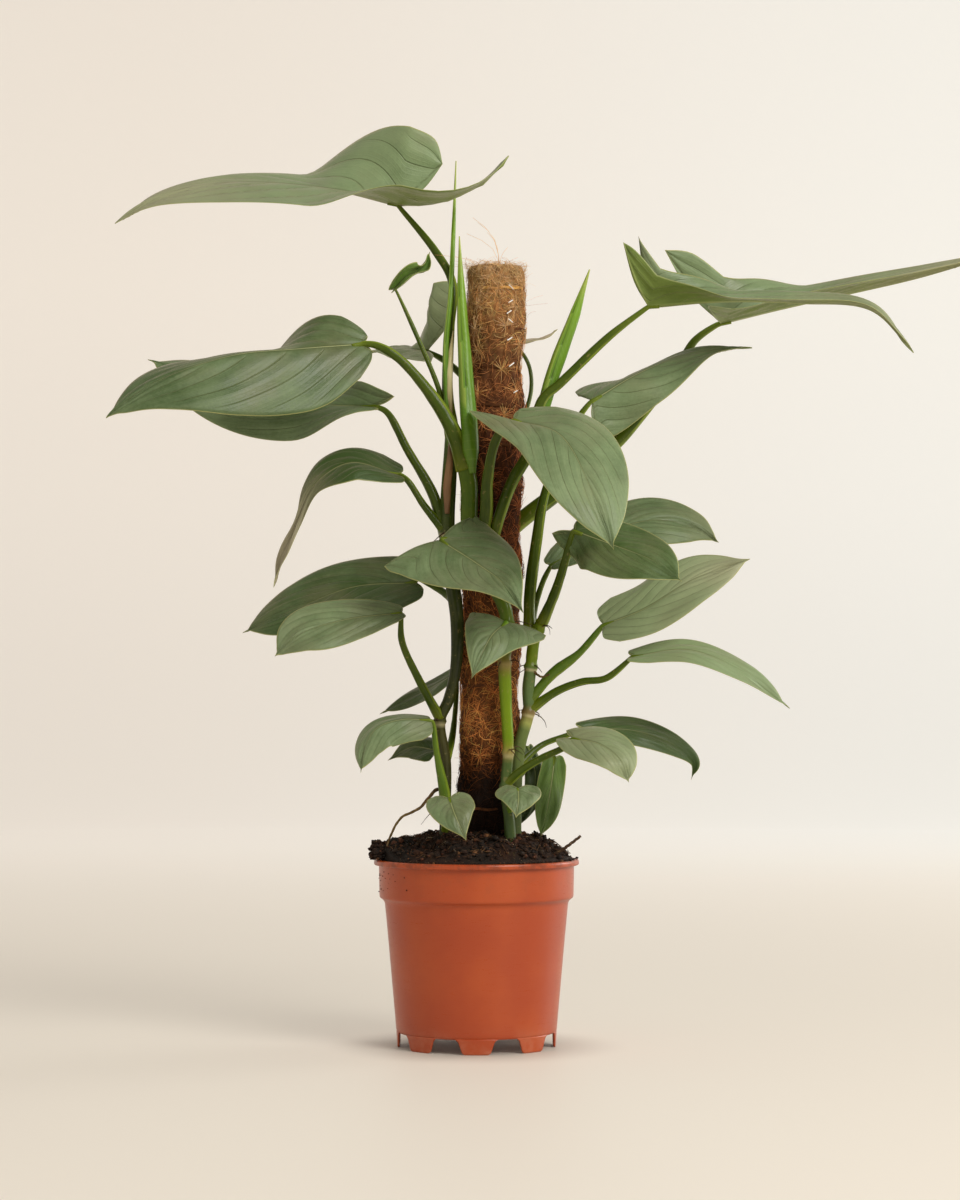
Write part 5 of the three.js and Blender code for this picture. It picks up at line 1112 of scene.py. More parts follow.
def add_node_roots(finish):
    """Short wiry roots that break out at the nodes."""
    random = np.random.default_rng(21)
    brown = [(0, colour(110, 84, 46)), (0.3, colour(74, 48, 28)), (1, colour(46, 30, 20))]
    batch = Batch()
    for stem, height, count in NODE_ROOTS:
        stem_line = Line(STEMS[stem]["line"])
        foot = stem_line.at(share_at_height(stem_line, height))
        radius = max(STEMS[stem]["radii"]) * 0.8
        for _ in range(count):
            turn = random.uniform(0, 2 * math.pi)
            out = np.array([math.cos(turn), math.sin(turn), random.uniform(-0.5, 0.3)])
            long = random.uniform(5, 15)
            sag = np.array([random.normal(0, 2.5), random.normal(0, 2.5), -random.uniform(1, 6)])
            start = foot + out * radius * 0.8
            bent = [start + out * long * 0.45, start + out * long * 0.8 + sag * 0.6]
            line = Line([start] + bent + [start + out * long + sag * 1.6]).at(np.linspace(0, 1, 18))
            tube, faces, share, angle = sweep(line, wiry(random.uniform(0.35, 0.75)), 7)
            batch.add(tube, faces, shades_along(brown, share), run=share, turn=angle)
    return batch.make("node_roots", finish, "root_and_twig")


def add_dry_sheaths(finish):
    """Papery remains of leaf sheaths that stand off the upper stems, straw-coloured to brown."""
    batch = Batch()
    straw = [(0.0, colour(150, 132, 84)), (0.5, colour(206, 200, 150)), (1.0, colour(180, 164, 116))]
    brown = [(0.0, colour(110, 78, 46)), (0.6, colour(140, 104, 66)), (1.0, colour(92, 62, 38))]
    upper = [[-21, -27, 520], [-22, -29, 545], [-21, -28, 572], [-19, -27, 590]]
    lower = [[-24, -25, 440], [-24, -27, 462], [-22, -28, 482], [-22, -28, 500]]
    add_sheath(batch, upper, [1.4, 2.6, 2.2, 0.6], straw)
    add_sheath(batch, lower, [2.0, 3.4, 3.0, 0.8], brown)
    return batch.make("dry_sheaths", finish, "stem")


# The coir pole

POLE_FOOT, POLE_TOP, POLE_RADIUS = np.array([8.0, 0, 120]), np.array([16.0, 0, 647]), 23.5
LASHING_PITCH = 33.0

# The fibre's colour by height, set to how light it looks there: darkest near its foot, then golden to its
# top; partly its own colour, partly painted light and shade.
COIR_SHADES = [
    (120, colour(30, 17, 8)), (222, colour(52, 29, 13)), (238, colour(150, 88, 42)),
    (258, colour(230, 146, 80)), (330, colour(236, 148, 80)), (440, colour(150, 86, 50)),
    (500, colour(180, 106, 64)), (560, colour(220, 142, 86)), (622, colour(255, 182, 112)),
    (647, colour(255, 200, 136)),
]
PALEST_COIR = [1.0, 0.68, 0.4, 1.0]

# Loose fibres in layers: how many, between which heights, how long, how far they arch off the skin, how
# steeply they lie, how thick, how far their ends stray, and above 1 how they gather low in their range.
FIBRE_LAYERS = [
    dict(count=3400, low=140, high=640, long=(9, 22), lift=(0.0, 0.9), slope=0.8, thick=(0.12, 0.2)),
    dict(count=900, low=190, high=400, long=(9, 22), lift=(0.3, 1.5), slope=0.9, thick=(0.11, 0.19)),
    dict(
        count=460, low=165, high=645, long=(10, 26), lift=(0.4, 1.8), slope=0.9, thick=(0.06, 0.1), stray=2.6,
    ),
    dict(
        count=560, low=614, high=649, long=(7, 20), lift=(0.5, 2.6), slope=1.3, thick=(0.09, 0.17),
        stray=1.2, bias=0.7,
    ),
    dict(count=420, low=205, high=645, long=(14, 34), lift=(0.8, 2.2), slope=1.0, thick=(0.14, 0.24)),
]
FIBRE_STEPS = 5

# Long hairs off the top: how far each ends to the right, up and to the rear of its foot.
LONG_HAIRS = [(-18, 40, -4), (-27, 33, 3), (-36, 12, -8), (-10, 31, -6), (7, 22, 4), (-22, 46, 2)]

# Dashes of the clear line, painted where it glints: height, angle round the pole and slope.
LINE_DASHES = [
    (627, -0.98, -20), (615, -1.02, 14), (606, -1.1, 16), (599, -1.05, -14), (584, -1.06, 15),
    (563, -0.96, 18), (541, -0.8, 12), (478, -0.7, 16),
]


def pole_radius(angle, height):
    """The packed fibre's radius: a bulge between lashings, and broad lumps."""
    bulge = 1.2 * np.cos(height / LASHING_PITCH * math.pi)
    lumps = 0.9 * np.sin(3 * angle + height / 19) + 0.6 * np.sin(5 * angle - height / 11)
    return POLE_RADIUS + bulge + lumps


def pole_axis(height):
    """The middle of the pole at a height: it leans a little to the right."""
    share = (np.asarray(height, float) - POLE_FOOT[2]) / (POLE_TOP[2] - POLE_FOOT[2])
    return POLE_FOOT + (POLE_TOP - POLE_FOOT) * share[..., None]


def pole_point(angle, height, lift=0.0):
    """A point near the pole's skin: `lift` outside it."""
    reach = (pole_radius(angle, height) + lift)[..., None]
    return pole_axis(height) + reach * np.stack([np.cos(angle), np.sin(angle), np.zeros_like(angle)], -1)


def coir_shade(height, random, spread=0.35):
    """The fibre's colour at a height, lighter and darker from one fibre to the next."""
    shade = shades_along(COIR_SHADES, np.asarray(height, float))
    light = np.exp(np.clip(random.normal(0, spread, np.shape(height)), -1.6, 0.75))[..., None]
    shade = shade * light
    shade[..., 3] = 1.0
    return np.minimum(shade, PALEST_COIR)


def add_pole_core(finish):
    """The packed fibre under the loose ones, rough in two sizes, rounded at the top and darkened with painted
    shade.
    """
    random = np.random.default_rng(3)
    rings, sides = 260, 120
    height = np.linspace(POLE_FOOT[2], POLE_TOP[2] - 1, rings)[:, None] * np.ones((1, sides))
    angle = (np.arange(sides) / sides * 2 * math.pi)[None, :] * np.ones((rings, 1))
    rough = 0.45 * np.sin(angle * 17 + height / 5) + 0.4 * np.sin(angle * 11 - height / 3.1 + 2)
    rough = rough + random.normal(0, 0.35, rough.shape)
    half_pitch = LASHING_PITCH / 2
    rough -= 0.8 * np.exp(-((np.mod(height + half_pitch, LASHING_PITCH) - half_pitch) / 2.2) ** 2)
    rounding = 3.2 * eased((height - POLE_TOP[2] + 9) / 9) ** 2
    points = pole_point(angle, height, rough - rounding - 0.2).reshape(-1, 3)
    batch = Batch()
    # Painted shade: the packed core is darkened to a fifth, as shade between the loose fibres, easing to a
    # half at the top.
    gap_shade = 0.2 + 0.3 * eased((height.ravel() - 560) / 80)
    shades = coir_shade(height.ravel(), random, 0.3) * gap_shade[:, None]
    batch.add(points, ring_faces(rings, sides), shades, run=height.ravel())
    return batch.make("coir_pole_core", finish, "coir", ["coir_pole"])


class Hairs:
    """Gathers hairs of coir and makes them into one piece at a time."""

    def __init__(self, random):
        self.random = random
        self.share = np.linspace(0, 1, FIBRE_STEPS)[None, :]
        self.clear()

    def clear(self):
        self.lines, self.radii, self.shades = [], [], []

    def add(self, lines, radii, shades):
        self.lines.append(lines)
        self.radii.append(radii)
        self.shades.append(shades)

    def make(self, name, finish):
        points, faces = strands(np.concatenate(self.lines), np.concatenate(self.radii))
        shade = np.concatenate(self.shades)
        corners = FIBRE_STEPS * 3
        own = np.repeat(self.random.random(len(shade)), corners)
        batch = Batch()
        batch.add(points, faces, np.repeat(shade, corners, axis=0), run=own)
        self.clear()
        return batch.make(name, finish, "coir")


def lay_fibres(hairs, count, low, high, long, lift, slope, thick, stray=0.0, bias=1.0):
    """Fibres laid over the pole's skin, each bowed and arched."""
    random, t = hairs.random, hairs.share
    height = low + (high - low) * random.random(count) ** bias
    angle = random.uniform(0, 2 * math.pi, count)
    length = random.uniform(*long, count)
    heading = random.normal(slope, 0.75, count) * random.choice([-1, 1], count)
    bow = random.normal(0, 0.9, count)
    turn = heading[:, None] + bow[:, None] * (t - 0.5) * 2
    along = np.cumsum(np.cos(turn), 1) / FIBRE_STEPS * length[:, None]
    round_it = np.cumsum(np.sin(turn), 1) / FIBRE_STEPS * length[:, None]
    z = np.clip(height[:, None] + along - length[:, None] / 2, POLE_FOOT[2] + 30, None)
    a = angle[:, None] + round_it / POLE_RADIUS
    arch = random.uniform(*lift, count)[:, None] * np.sin(t * math.pi) ** 0.7
    away = random.exponential(stray, count)[:, None] * t**2 if stray else 0.0
    base = random.uniform(-0.3, 0.4, count)[:, None]
    top = np.minimum(z, POLE_TOP[2] - 2)
    places = pole_point(a, top, base + arch + away)
    places[..., 2] += np.maximum(z - top, 0)
    taper = 1 - 0.45 * np.abs(t - 0.3)
    radii = random.uniform(*thick, count)[:, None] * taper
    hairs.add(places, radii, coir_shade(height, random, 0.55))


def burst_tuft(hairs, centre, height):
    """A tuft that bursts out between two lashings, lighter than the fibre round it above the dark foot."""
    random, t = hairs.random, hairs.share
    count, dark_foot_to, lighter = 34, 240, 60
    heading = random.uniform(0, 2 * math.pi, count)
    length = random.uniform(5, 13, count)
    a = centre + np.sin(heading)[:, None] * length[:, None] * t / POLE_RADIUS
    z = height + random.normal(0, 4) + np.cos(heading)[:, None] * length[:, None] * t
    z = np.clip(z, POLE_FOOT[2] + 34, POLE_TOP[2] - 1)
    lift = 0.2 + random.uniform(0.5, 2.2, count)[:, None] * np.sin(0.35 + t * 2.0)
    radii = np.full((count, FIBRE_STEPS), 0.14) * (1.1 - 0.5 * t)
    shade_height = height + (lighter if height > dark_foot_to else 0)
    hairs.add(pole_point(a, z, lift), radii, coir_shade(np.full(count, shade_height), random, 0.5))


def add_top_hairs(hairs):
    """The open end of the pole: hairs stand up and lean out all over it, and long ones bend to the left."""
    random, t = hairs.random, hairs.share[..., None]
    count = 620
    reach = (POLE_RADIUS - 1) * np.sqrt(random.random(count))
    angle = random.uniform(0, 2 * math.pi, count)
    length = random.uniform(5, 19, count) * (1.15 - 0.5 * reach / POLE_RADIUS)
    lean = random.normal(0, 0.55, (count, 2))
    foot = np.stack([np.cos(angle) * reach, np.sin(angle) * reach, np.zeros(count)], -1)
    start = pole_axis(np.full(count, 643.0)) + foot
    push = np.concatenate([lean * 0.5, np.full((count, 1), 0.7)], 1) * length[:, None]
    bend = np.concatenate([random.normal(0, 0.5, (count, 2)), np.full((count, 1), -0.25)], 1)
    bend = bend * length[:, None]
    lines = start[:, None] + push[:, None] * t + bend[:, None] * t**2
    radii = np.full((count, FIBRE_STEPS), 0.12) * (1.1 - 0.5 * t[..., 0])
    hairs.add(lines, radii, coir_shade(np.full(count, 640.0), random, 0.35))
    t = hairs.share.T
    for dx, dz, dy in LONG_HAIRS:
        start = pole_axis(np.array(642.0)) + [3.0 if dz > 15 else -14.0, dy, 0]
        bow = np.array([-dx * 0.3, dy * 0.8, dz * 0.12])
        line = start + np.array([dx, dy, dz]) * t + bow * np.sin(t * math.pi)
        hairs.add(line[None], np.full((1, FIBRE_STEPS), 0.14), coir_shade(np.array([640.0]), random, 0.1))


def add_pole_fibres(finish):
    """Loose coir over the whole skin: laid hairs, then tufts between the lashings and a fluffy top."""
    hairs = Hairs(np.random.default_rng(11))
    for layer in FIBRE_LAYERS:
        lay_fibres(hairs, **layer)
    hairs.make("coir_pole_fibres", finish)
    for height in np.arange(POLE_FOOT[2] + 60, POLE_TOP[2] - 10, LASHING_PITCH / 2):
        for tuft in range(5):
            centre = (tuft + hairs.random.uniform(-0.25, 0.25) + height / LASHING_PITCH) * 2 * math.pi / 5
            burst_tuft(hairs, centre, height)
    add_top_hairs(hairs)
    return hairs.make("coir_pole_tufts", finish)


def add_pole_lashings(coir_twine, line_finish):
    """Twine round the pole at each lashing, mostly sunk in, and a clear line that shows only in short dashes,
    painted white where it glints.
    """
    twine = Batch()
    angle = np.linspace(0, 2 * math.pi, 60, endpoint=False)
    for count, height in enumerate(np.arange(POLE_FOOT[2] + 78, POLE_TOP[2] - 15, LASHING_PITCH)):
        for strand in (0, 1):
            sink = -0.5 + 1.2 * np.sin(angle * 2 + count * 1.7)
            z = height + 1.5 * np.sin(angle + count) + strand * 1.1 + 0.4 * np.sin(9 * angle)
            loop = pole_point(angle, z, sink)
            points, faces, share, _ = sweep(loop, lambda s, a: 0.55 + 0.08 * np.sin(160 * s + a), 6)
            shade = colour(240, 186, 104) if height > 610 else colour(98, 60, 34)
            twine.add(points, faces, shade, run=share)
    dashes = Batch()
    span = np.linspace(-0.09, 0.09, 12)
    for height, angle, slope in LINE_DASHES:
        loop = pole_point(angle + span, height + span * slope, 1.2 + 0 * span)
        points, faces, share, _ = sweep(loop, lambda s, a: 0.5 + 0 * a, 6)
        # Painted glint: the dashes are near white.
        dashes.add(points, faces, colour(255, 252, 244), run=share)
    twine.make("coir_pole_twine", coir_twine, "coir")
    return dashes.make("coir_pole_clear_line", line_finish, "coir")


# The soil

# Heaps of crumbs on the rim at the left: the middle of each and how far it reaches.
SPILL_CRUMBS = [
    (-78, -16, 161, 8), (-84, -12, 160.5, 7), (-80, -24, 160, 6), (-79, -2, 161, 7), (-86, -20, 159, 5),
    (-75, -8, 167, 6), (-82, -14, 166, 5),
]
CRUMB_SHADES = [
    (0.28, colour(30, 20, 12)), (0.24, colour(46, 28, 17)), (0.12, colour(88, 50, 30)),
    (0.2, colour(18, 12, 8)), (0.04, colour(124, 84, 50)), (0.12, colour(38, 25, 15)),
]
STRAW_SHADES = [
    (0.4, colour(96, 64, 38)), (0.42, colour(64, 42, 27)), (0.14, colour(128, 94, 60)),
    (0.04, colour(200, 180, 150)),
]


def soil_height(radius, angle):
    """The mound's height at a place: a low dome, the spill at the left, and clods away from the rim."""
    x, y = radius * np.cos(angle), radius * np.sin(angle)
    mound = 20 * (1 - (radius / 80) ** 3)
    spill = 9 * np.exp(-(((x + 74) / 16) ** 2) - ((y + 14) / 26) ** 2)
    rough = 1.6 * np.sin(x / 7 + 1) * np.cos(y / 6) + 1.1 * np.sin(x / 3.7 + y / 4.9)
    return 156 + mound + spill + rough * np.minimum(1, (82 - radius) / 14)


def add_soil(finish):
    """A crumbly mound that fills the pot down to its floor."""
    random = np.random.default_rng(5)
    sides, rings = 240, 80
    angle = (np.arange(sides) / sides * 2 * math.pi)[None, :]
    share = np.linspace(1, 0.004, rings)[:, None]
    radius = 79.0 * share * np.ones((1, sides))
    angle = angle * np.ones((rings, 1))
    x, y = radius * np.cos(angle), radius * np.sin(angle)
    clods = 0.9 * np.sin(x / 2.3 + 2 * np.sin(y / 3.1)) * np.cos(y / 2.7 + 1.5 * np.sin(x / 4.4))
    clods += 0.7 * np.abs(np.sin(x / 1.3 + y / 1.9)) * np.abs(np.cos(x / 1.7 - y / 1.1))
    clods += random.normal(0, 0.32, clods.shape)
    z = soil_height(radius, angle) + clods * eased((1 - share) * 12) - 0.5
    top = np.stack([x, y, z], -1)
    wall = [(64.8, 14.2), (74.4, 121.0), (78.2, 126.0), (78.9, 153.0)]
    lower = np.array([[(r * math.cos(a), r * math.sin(a), h) for a in angle[0]] for r, h in wall])
    grid = np.concatenate([lower, top]).reshape(-1, 3)
    batch = Batch()
    batch.add(grid, ring_faces(rings + len(wall), sides), colour(30, 20, 12), run=0.3)
    return batch.make("soil_mound", finish, "potting_soil", ["soil"])


def picked_shades(shades, count, random):
    """One of the colours for each of `count` bits, by how common it is."""
    pick = random.choice(len(shades), count, p=[share for share, _ in shades])
    return np.array([shade for _, shade in shades])[pick]


def add_soil_crumbs(finish, random):
    """Crumbs and bark lying on the mound, over the rim at the left and on the band."""
    count = 2100
    radius = 78.5 * np.sqrt(random.random(count))
    angle = random.uniform(0, 2 * math.pi, count)
    size = 0.5 + random.exponential(0.8, count)
    size = np.minimum(size, 3.4) * np.where(radius > 74, 0.8, 1.0)
    z = soil_height(radius, angle) + 0.25 * size + random.exponential(0.35, count)
    near_pole = np.hypot(radius * np.cos(angle) - 8.6, radius * np.sin(angle)) < 22
    places = np.stack([radius * np.cos(angle), radius * np.sin(angle), z], -1)[~near_pole]
    size = size[~near_pole]
    spill_places, spill_sizes = [], []
    for x, y, z, reach in SPILL_CRUMBS:
        many = 46
        way = unit(random.normal(0, 1, (many, 3)))
        out = reach * random.random(many)[:, None] ** 0.45
        spill_places.append(np.array([x, y, z]) + way * out * [0.95, 1.2, 0.8])
        spill_sizes.append(0.7 + random.exponential(0.9, many))
    spill_places, spill_sizes = np.vstack(spill_places), np.minimum(np.concatenate(spill_sizes), 3.2)
    reach = np.hypot(spill_places[:, 0], spill_places[:, 1])
    clear = (reach < 79) | (spill_places[:, 2] > 155 + spill_sizes * 0.6)
    clear &= reach < 89.5
    on_band, on_lip = 26, 220
    band_angle = math.pi + random.uniform(-0.15, 0.9, on_band)
    band_z = random.uniform(126, 149, on_band)
    band = np.stack([81.0 * np.cos(band_angle), 81.0 * np.sin(band_angle), band_z], -1)
    lip_angle = np.concatenate([random.uniform(0, 2 * math.pi, 130), random.normal(-0.6, 0.35, 90)])
    lip_reach = 79.0 + random.exponential(1.5, on_lip)
    lip = np.stack([lip_reach * np.cos(lip_angle), lip_reach * np.sin(lip_angle), np.full(on_lip, 155.5)], -1)
    lip = lip[lip_reach < 84.2]
    clumps, to_a_clump = 34, 60
    clump_angle = random.uniform(0, 2 * math.pi, clumps)
    clump_reach = random.uniform(36, 74, clumps)
    clump_height = soil_height(clump_reach, clump_angle) + 1.5
    clump = np.stack([clump_reach * np.cos(clump_angle), clump_reach * np.sin(clump_angle), clump_height], -1)
    wide = random.uniform(2.0, 4.5, clumps)[:, None, None]
    spread = random.normal(0, 0.55, (clumps, to_a_clump, 3)) * wide * [1.0, 1.0, 0.7]
    clump = (clump[:, None] + spread).reshape(-1, 3)
    clump = clump[np.hypot(clump[:, 0], clump[:, 1]) < 78]
    parts = [places, spill_places[clear], band, lip, clump]
    sizes = [
        size, spill_sizes[clear], random.uniform(0.25, 0.7, on_band), random.uniform(0.3, 1.5, len(lip)),
        0.4 + random.exponential(0.45, len(clump)),
    ]
    places, size = np.vstack(parts), np.minimum(np.concatenate(sizes), 3.4)
    points, faces, owner = lumps(places, size, random)
    shades = picked_shades(CRUMB_SHADES, len(places), random)
    batch = Batch()
    batch.add(points, faces, shades[owner], run=random.random(len(places))[owner])
    return batch.make("soil_crumbs", finish, "potting_soil")


def add_soil_straws(finish, random):
    """Short straws of coir and root that lie on the crumbs."""
    count, steps, sides = 760, 6, 4
    radius = 77 * np.sqrt(random.random(count))
    angle = random.uniform(0, 2 * math.pi, count)
    heading = random.uniform(0, 2 * math.pi, count)
    length = random.uniform(3, 13, count)
    t = np.linspace(-0.5, 0.5, steps)[None, :]
    bow = random.normal(0, 0.35, count)[:, None] * (t * t - 0.1)
    ahead, aside = np.cos(heading)[:, None], np.sin(heading)[:, None]
    x = (radius * np.cos(angle))[:, None] + length[:, None] * (ahead * t - aside * bow)
    y = (radius * np.sin(angle))[:, None] + length[:, None] * (aside * t + ahead * bow)
    reach = np.minimum(np.hypot(x, y), 78.0)
    turn = np.arctan2(y, x)
    tilt = random.normal(0, 0.22, count)[:, None] * length[:, None] * t
    arch = 1.2 * np.cos(t * math.pi) * random.random(count)[:, None]
    z = soil_height(reach, turn) + random.uniform(0.8, 2.2, count)[:, None] + arch + np.abs(tilt)
    lines = np.stack([reach * np.cos(turn), reach * np.sin(turn), z], -1)
    radii = random.uniform(0.07, 0.3, count)[:, None] * np.ones((1, steps))
    points, faces = strands(lines, radii, sides)
    shades = picked_shades(STRAW_SHADES, count, random)
    straw = Batch()
    straw.add(points, faces, np.repeat(shades, steps * sides, axis=0), run=0.5)
    return straw.make("soil_straws", finish, "potting_soil")


# The pot

POT_OUTSIDE = [
    (0, 12), (62.9, 12), (65.0, 12.1), (65.9, 12.6), (66.45, 13.6), (66.75, 15), (66.9, 17), (67.6, 26),
    (68.6, 37), (70.2, 55), (71.8, 73), (73.3, 90), (74.9, 107), (75.9, 117), (76.1, 118.6), (76.5, 120),
    (77.4, 121.4), (78.7, 122.6), (79.8, 123.3), (80.35, 124.2), (80.5, 125.4), (80.55, 127), (80.7, 134),
    (80.85, 142), (80.95, 148.2), (80.95, 149.6), (81.0, 150.15), (81.5, 150.45), (83.2, 150.5),
    (84.3, 150.6), (84.85, 151), (85.0, 151.7), (85.0, 153.2), (84.8, 154.2), (84.3, 154.8), (83.4, 155),
    (81.2, 155), (80.2, 154.8), (79.75, 154.2), (79.6, 153.2),
]
POT_INSIDE = [
    (79.0, 126), (78.6, 124.2), (77.4, 122.6), (75.4, 121), (75.0, 119), (70, 62), (65.4, 15.6),
    (64.8, 14.1), (63.6, 13.6), (0, 13.6),
]
POT_BRICK = colour(178, 86, 50)

# The skirt's feet: how many, how high, and how wide at the top and at the floor.
FEET, FOOT_HEIGHT, FOOT_TOP, FOOT_LOW = 8, 13.0, 32.0, 22.5
FOOT_THICK, FOOT_CORNER = 1.4, 2.0


def add_pot_shell(finish):
    """The turned shell: body, step, band and rolled lip, with its inner wall and base in one skin."""
    sides = 200
    outline = POT_OUTSIDE + POT_INSIDE
    points, faces = [(0, 0, outline[0][1])], []
    for radius, height in outline[1:-1]:
        for k in range(sides):
            turn = 2 * math.pi * k / sides
            points.append((radius * math.cos(turn), radius * math.sin(turn), height))
    points.append((0, 0, outline[-1][1]))
    last = len(points) - 1
    for k in range(sides):
        after = (k + 1) % sides
        faces.append((0, 1 + after, 1 + k))
        for ring in range(len(outline) - 3):
            a, b = 1 + ring * sides + k, 1 + ring * sides + after
            faces.append((a, b, b + sides, a + sides))
        final = 1 + (len(outline) - 3) * sides
        faces.append((final + k, final + after, last))
    batch = Batch()
    batch.add(points, faces, POT_BRICK, run=0.0)
    return batch.make("pot_shell", finish, "pot_plastic", ["pot"])


def add_pot_feet(finish):
    """Feet left by gaps in the skirt, wider at the top and with rounded lower corners, and drain rims."""
    batch = Batch()
    apart = 360 / FEET
    rows, columns = 12, 26
    for foot in range(FEET):
        middle = math.radians(-90 + apart * foot)
        outer, inner = [], []
        for z in np.linspace(FOOT_HEIGHT, 0.0, rows):
            share = 1 - z / FOOT_HEIGHT
            half = (FOOT_TOP + (FOOT_LOW - FOOT_TOP) * share) / 2 + 2.6 * max(0, 1 - share * 4) ** 2
            if z < FOOT_CORNER:
                half -= FOOT_CORNER - math.sqrt(max(0.0, FOOT_CORNER**2 - (FOOT_CORNER - z) ** 2))
            radius = 65.75 + 0.72 * min(z, 12.0) / 12.0 - 0.12 * (z < 0.6)
            within = radius - FOOT_THICK
            spread = middle + np.linspace(-half, half, columns) / radius
            outer.append([(radius * math.cos(a), radius * math.sin(a), z) for a in spread])
            inner.append([(within * math.cos(a), within * math.sin(a), z) for a in spread[::-1]])
        rings = np.concatenate([np.array(outer), np.array(inner)], 1)
        faces = [tuple(reversed(face)) for face in ring_faces(rows, columns * 2)]
        batch.add(rings.reshape(-1, 3), faces, POT_BRICK, run=1.0)
    for hole in range(FEET):
        turn = math.radians(-90 + apart / 2 + apart * hole)
        centre = np.array([44 * math.cos(turn), 44 * math.sin(turn), 0])
        angle = np.linspace(0, 2 * math.pi, 40, endpoint=False)
        ring = np.stack([np.cos(angle), np.sin(angle), np.zeros(40)], -1)
        profile = [(5.0, 11.95), (6.2, 11.4), (6.6, 11.2), (6.9, 11.6), (7.0, 11.98)]
        grid = np.stack([centre + ring * r + [0, 0, z] for r, z in profile])
        batch.add(grid.reshape(-1, 3), ring_faces(5, 40), colour(150, 70, 40), run=1.0)
    return batch.make("pot_feet", finish, "pot_plastic")


# Finishes


def stem_finish():
    """Green and tan skin with long streaks, pale scars at the nodes, lime lines along the petioles, partly
    channel margins and partly painted highlights, and a waxy shine.
    """
    skin = Finish("stem_skin", {"Specular IOR Level": 0.12, "Coat Roughness": 0.06})
    run, turn, scar = skin.value("run"), skin.value("turn"), skin.value("scar")
    gloss, seed = skin.value("gloss"), skin.value("seed")
    base = skin.tint("skin")
    lines = skin.noise(1.0, 4.0, 0.6, skin.flat(run * 0.028 + seed, turn * 1.6))
    blotch = skin.noise(60.0, 4.0, 0.6)
    fine = skin.noise(1.0, 2.0, 0.5, skin.flat(run * 0.25 + seed, turn * 7.0))
    shade = skin.smooth(lines * 0.6 + blotch * 0.6, 0.35, 0.85)
    base = skin.mix(shade * 0.2, base, skin.mix(0.5, base, colour(150, 150, 50), "SCREEN"))
    base = skin.mix(skin.smooth(fine, 0.55, 0.75) * 0.35, base, skin.mix(0.55, base, colour(40, 44, 20)))
    cork = skin.smooth(skin.noise(240.0, 3.0, 0.6), 0.62, 0.7)
    base = skin.mix(cork * 0.3, base, colour(150, 130, 84))
    sway = skin.noise(1.0, 1.0, 0.5, skin.flat(run * 0.02, seed))
    # Lime lines on two sides of each petiole, partly the pale margins of its channel, partly painted edge
    # highlights; the pale value sets how strong they are.
    margin_and_highlight = skin.math("ABSOLUTE", skin.math("COSINE", turn + sway * 0.6))
    margin_and_highlight = skin.smooth(margin_and_highlight, 0.72, 0.9) * skin.smooth(lines, 0.3, 0.6) * skin.value("pale")
    base = skin.mix(margin_and_highlight, base, colour(140, 158, 52))
    base = skin.mix(skin.math("MINIMUM", scar * 0.75, 1.0), base, colour(196, 188, 142))
    skin.set("Base Color", base)
    skin.set("Roughness", skin.smooth(fine + shade * 0.3, 0.4, 1.0, (0.34, 0.52)))
    skin.set("Coat Weight", gloss * 0.3)
    skin.bump(lines * 0.5 + fine * 0.5, 0.0004, 0.6)
    return skin.material


def sheath_finish():
    """Thin dry tissue with fine ribs."""
    skin = Finish("dry_sheath_paper", {"Specular IOR Level": 0.4, "Coat Weight": 0.15, "Coat Roughness": 0.3})
    run, turn = skin.value("run"), skin.value("turn")
    ribs = skin.noise(1.0, 3.0, 0.6, skin.flat(run * 2.0, turn * 5.0))
    base = skin.tint("skin")
    base = skin.mix(skin.smooth(ribs, 0.4, 0.65) * 0.5, base, skin.mix(0.5, base, colour(84, 60, 34)))
    skin.set("Base Color", base)
    skin.set("Roughness", skin.smooth(ribs, 0.3, 0.7, (0.4, 0.6)))
    skin.bump(ribs, 0.0003, 0.6)
    return skin.material


def rolled_finish():
    """Bright young blade: fine veins along the roll, painted shade in a dark line where it laps over itself,
    and a paler lapping edge.
    """
    skin = Finish("rolled_leaf_skin", {"Specular IOR Level": 0.3, "Coat Weight": 0.1, "Coat Roughness": 0.2})
    lap, run = skin.value("lap"), skin.value("run")
    base = skin.tint("skin")
    veins = skin.math("ABSOLUTE", skin.math("SINE", run * 90.0 + lap * 26.0))
    veins = skin.smooth(veins, 0.0, 0.3, (1.0, 0.0))
    base = skin.mix(veins * 0.1, base, colour(176, 196, 96))
    # Painted shade: a dark line along the step where the blade laps over itself.
    seam_shade = skin.smooth(lap, 0.0, 0.07, (1.0, 0.0))
    base = skin.mix(seam_shade * 0.85, base, colour(48, 70, 16))
    edge = skin.smooth(lap, 0.82, 0.97)
    base = skin.mix(edge * 0.4, base, colour(176, 190, 90))
    base = skin.mix(skin.smooth(skin.noise(50.0, 3.0), 0.4, 0.7) * 0.3, base, colour(96, 124, 44))
    skin.set("Base Color", base)
    skin.set("Roughness", skin.smooth(skin.noise(500.0), 0.3, 0.7, (0.32, 0.44)))
    skin.bump(veins, 0.0002, 0.3)
    return skin.material


def root_finish():
    """Brown corky bark with dark cracks and a few pale scales."""
    skin = Finish("root_bark", {"Specular IOR Level": 0.3})
    base = skin.tint("skin")
    grain = skin.noise(700.0, 4.0, 0.65)
    base = skin.mix(skin.smooth(grain, 0.42, 0.62), skin.mix(0.5, base, colour(30, 20, 12)), base)
    base = skin.mix(skin.smooth(skin.noise(240.0, 2.0), 0.6, 0.7) * 0.4, base, colour(150, 126, 90))
    skin.set("Base Color", base)
    skin.set("Roughness", skin.smooth(grain, 0.3, 0.7, (0.65, 0.9)))
    skin.bump(grain, 0.0005, 0.8)
    return skin.material


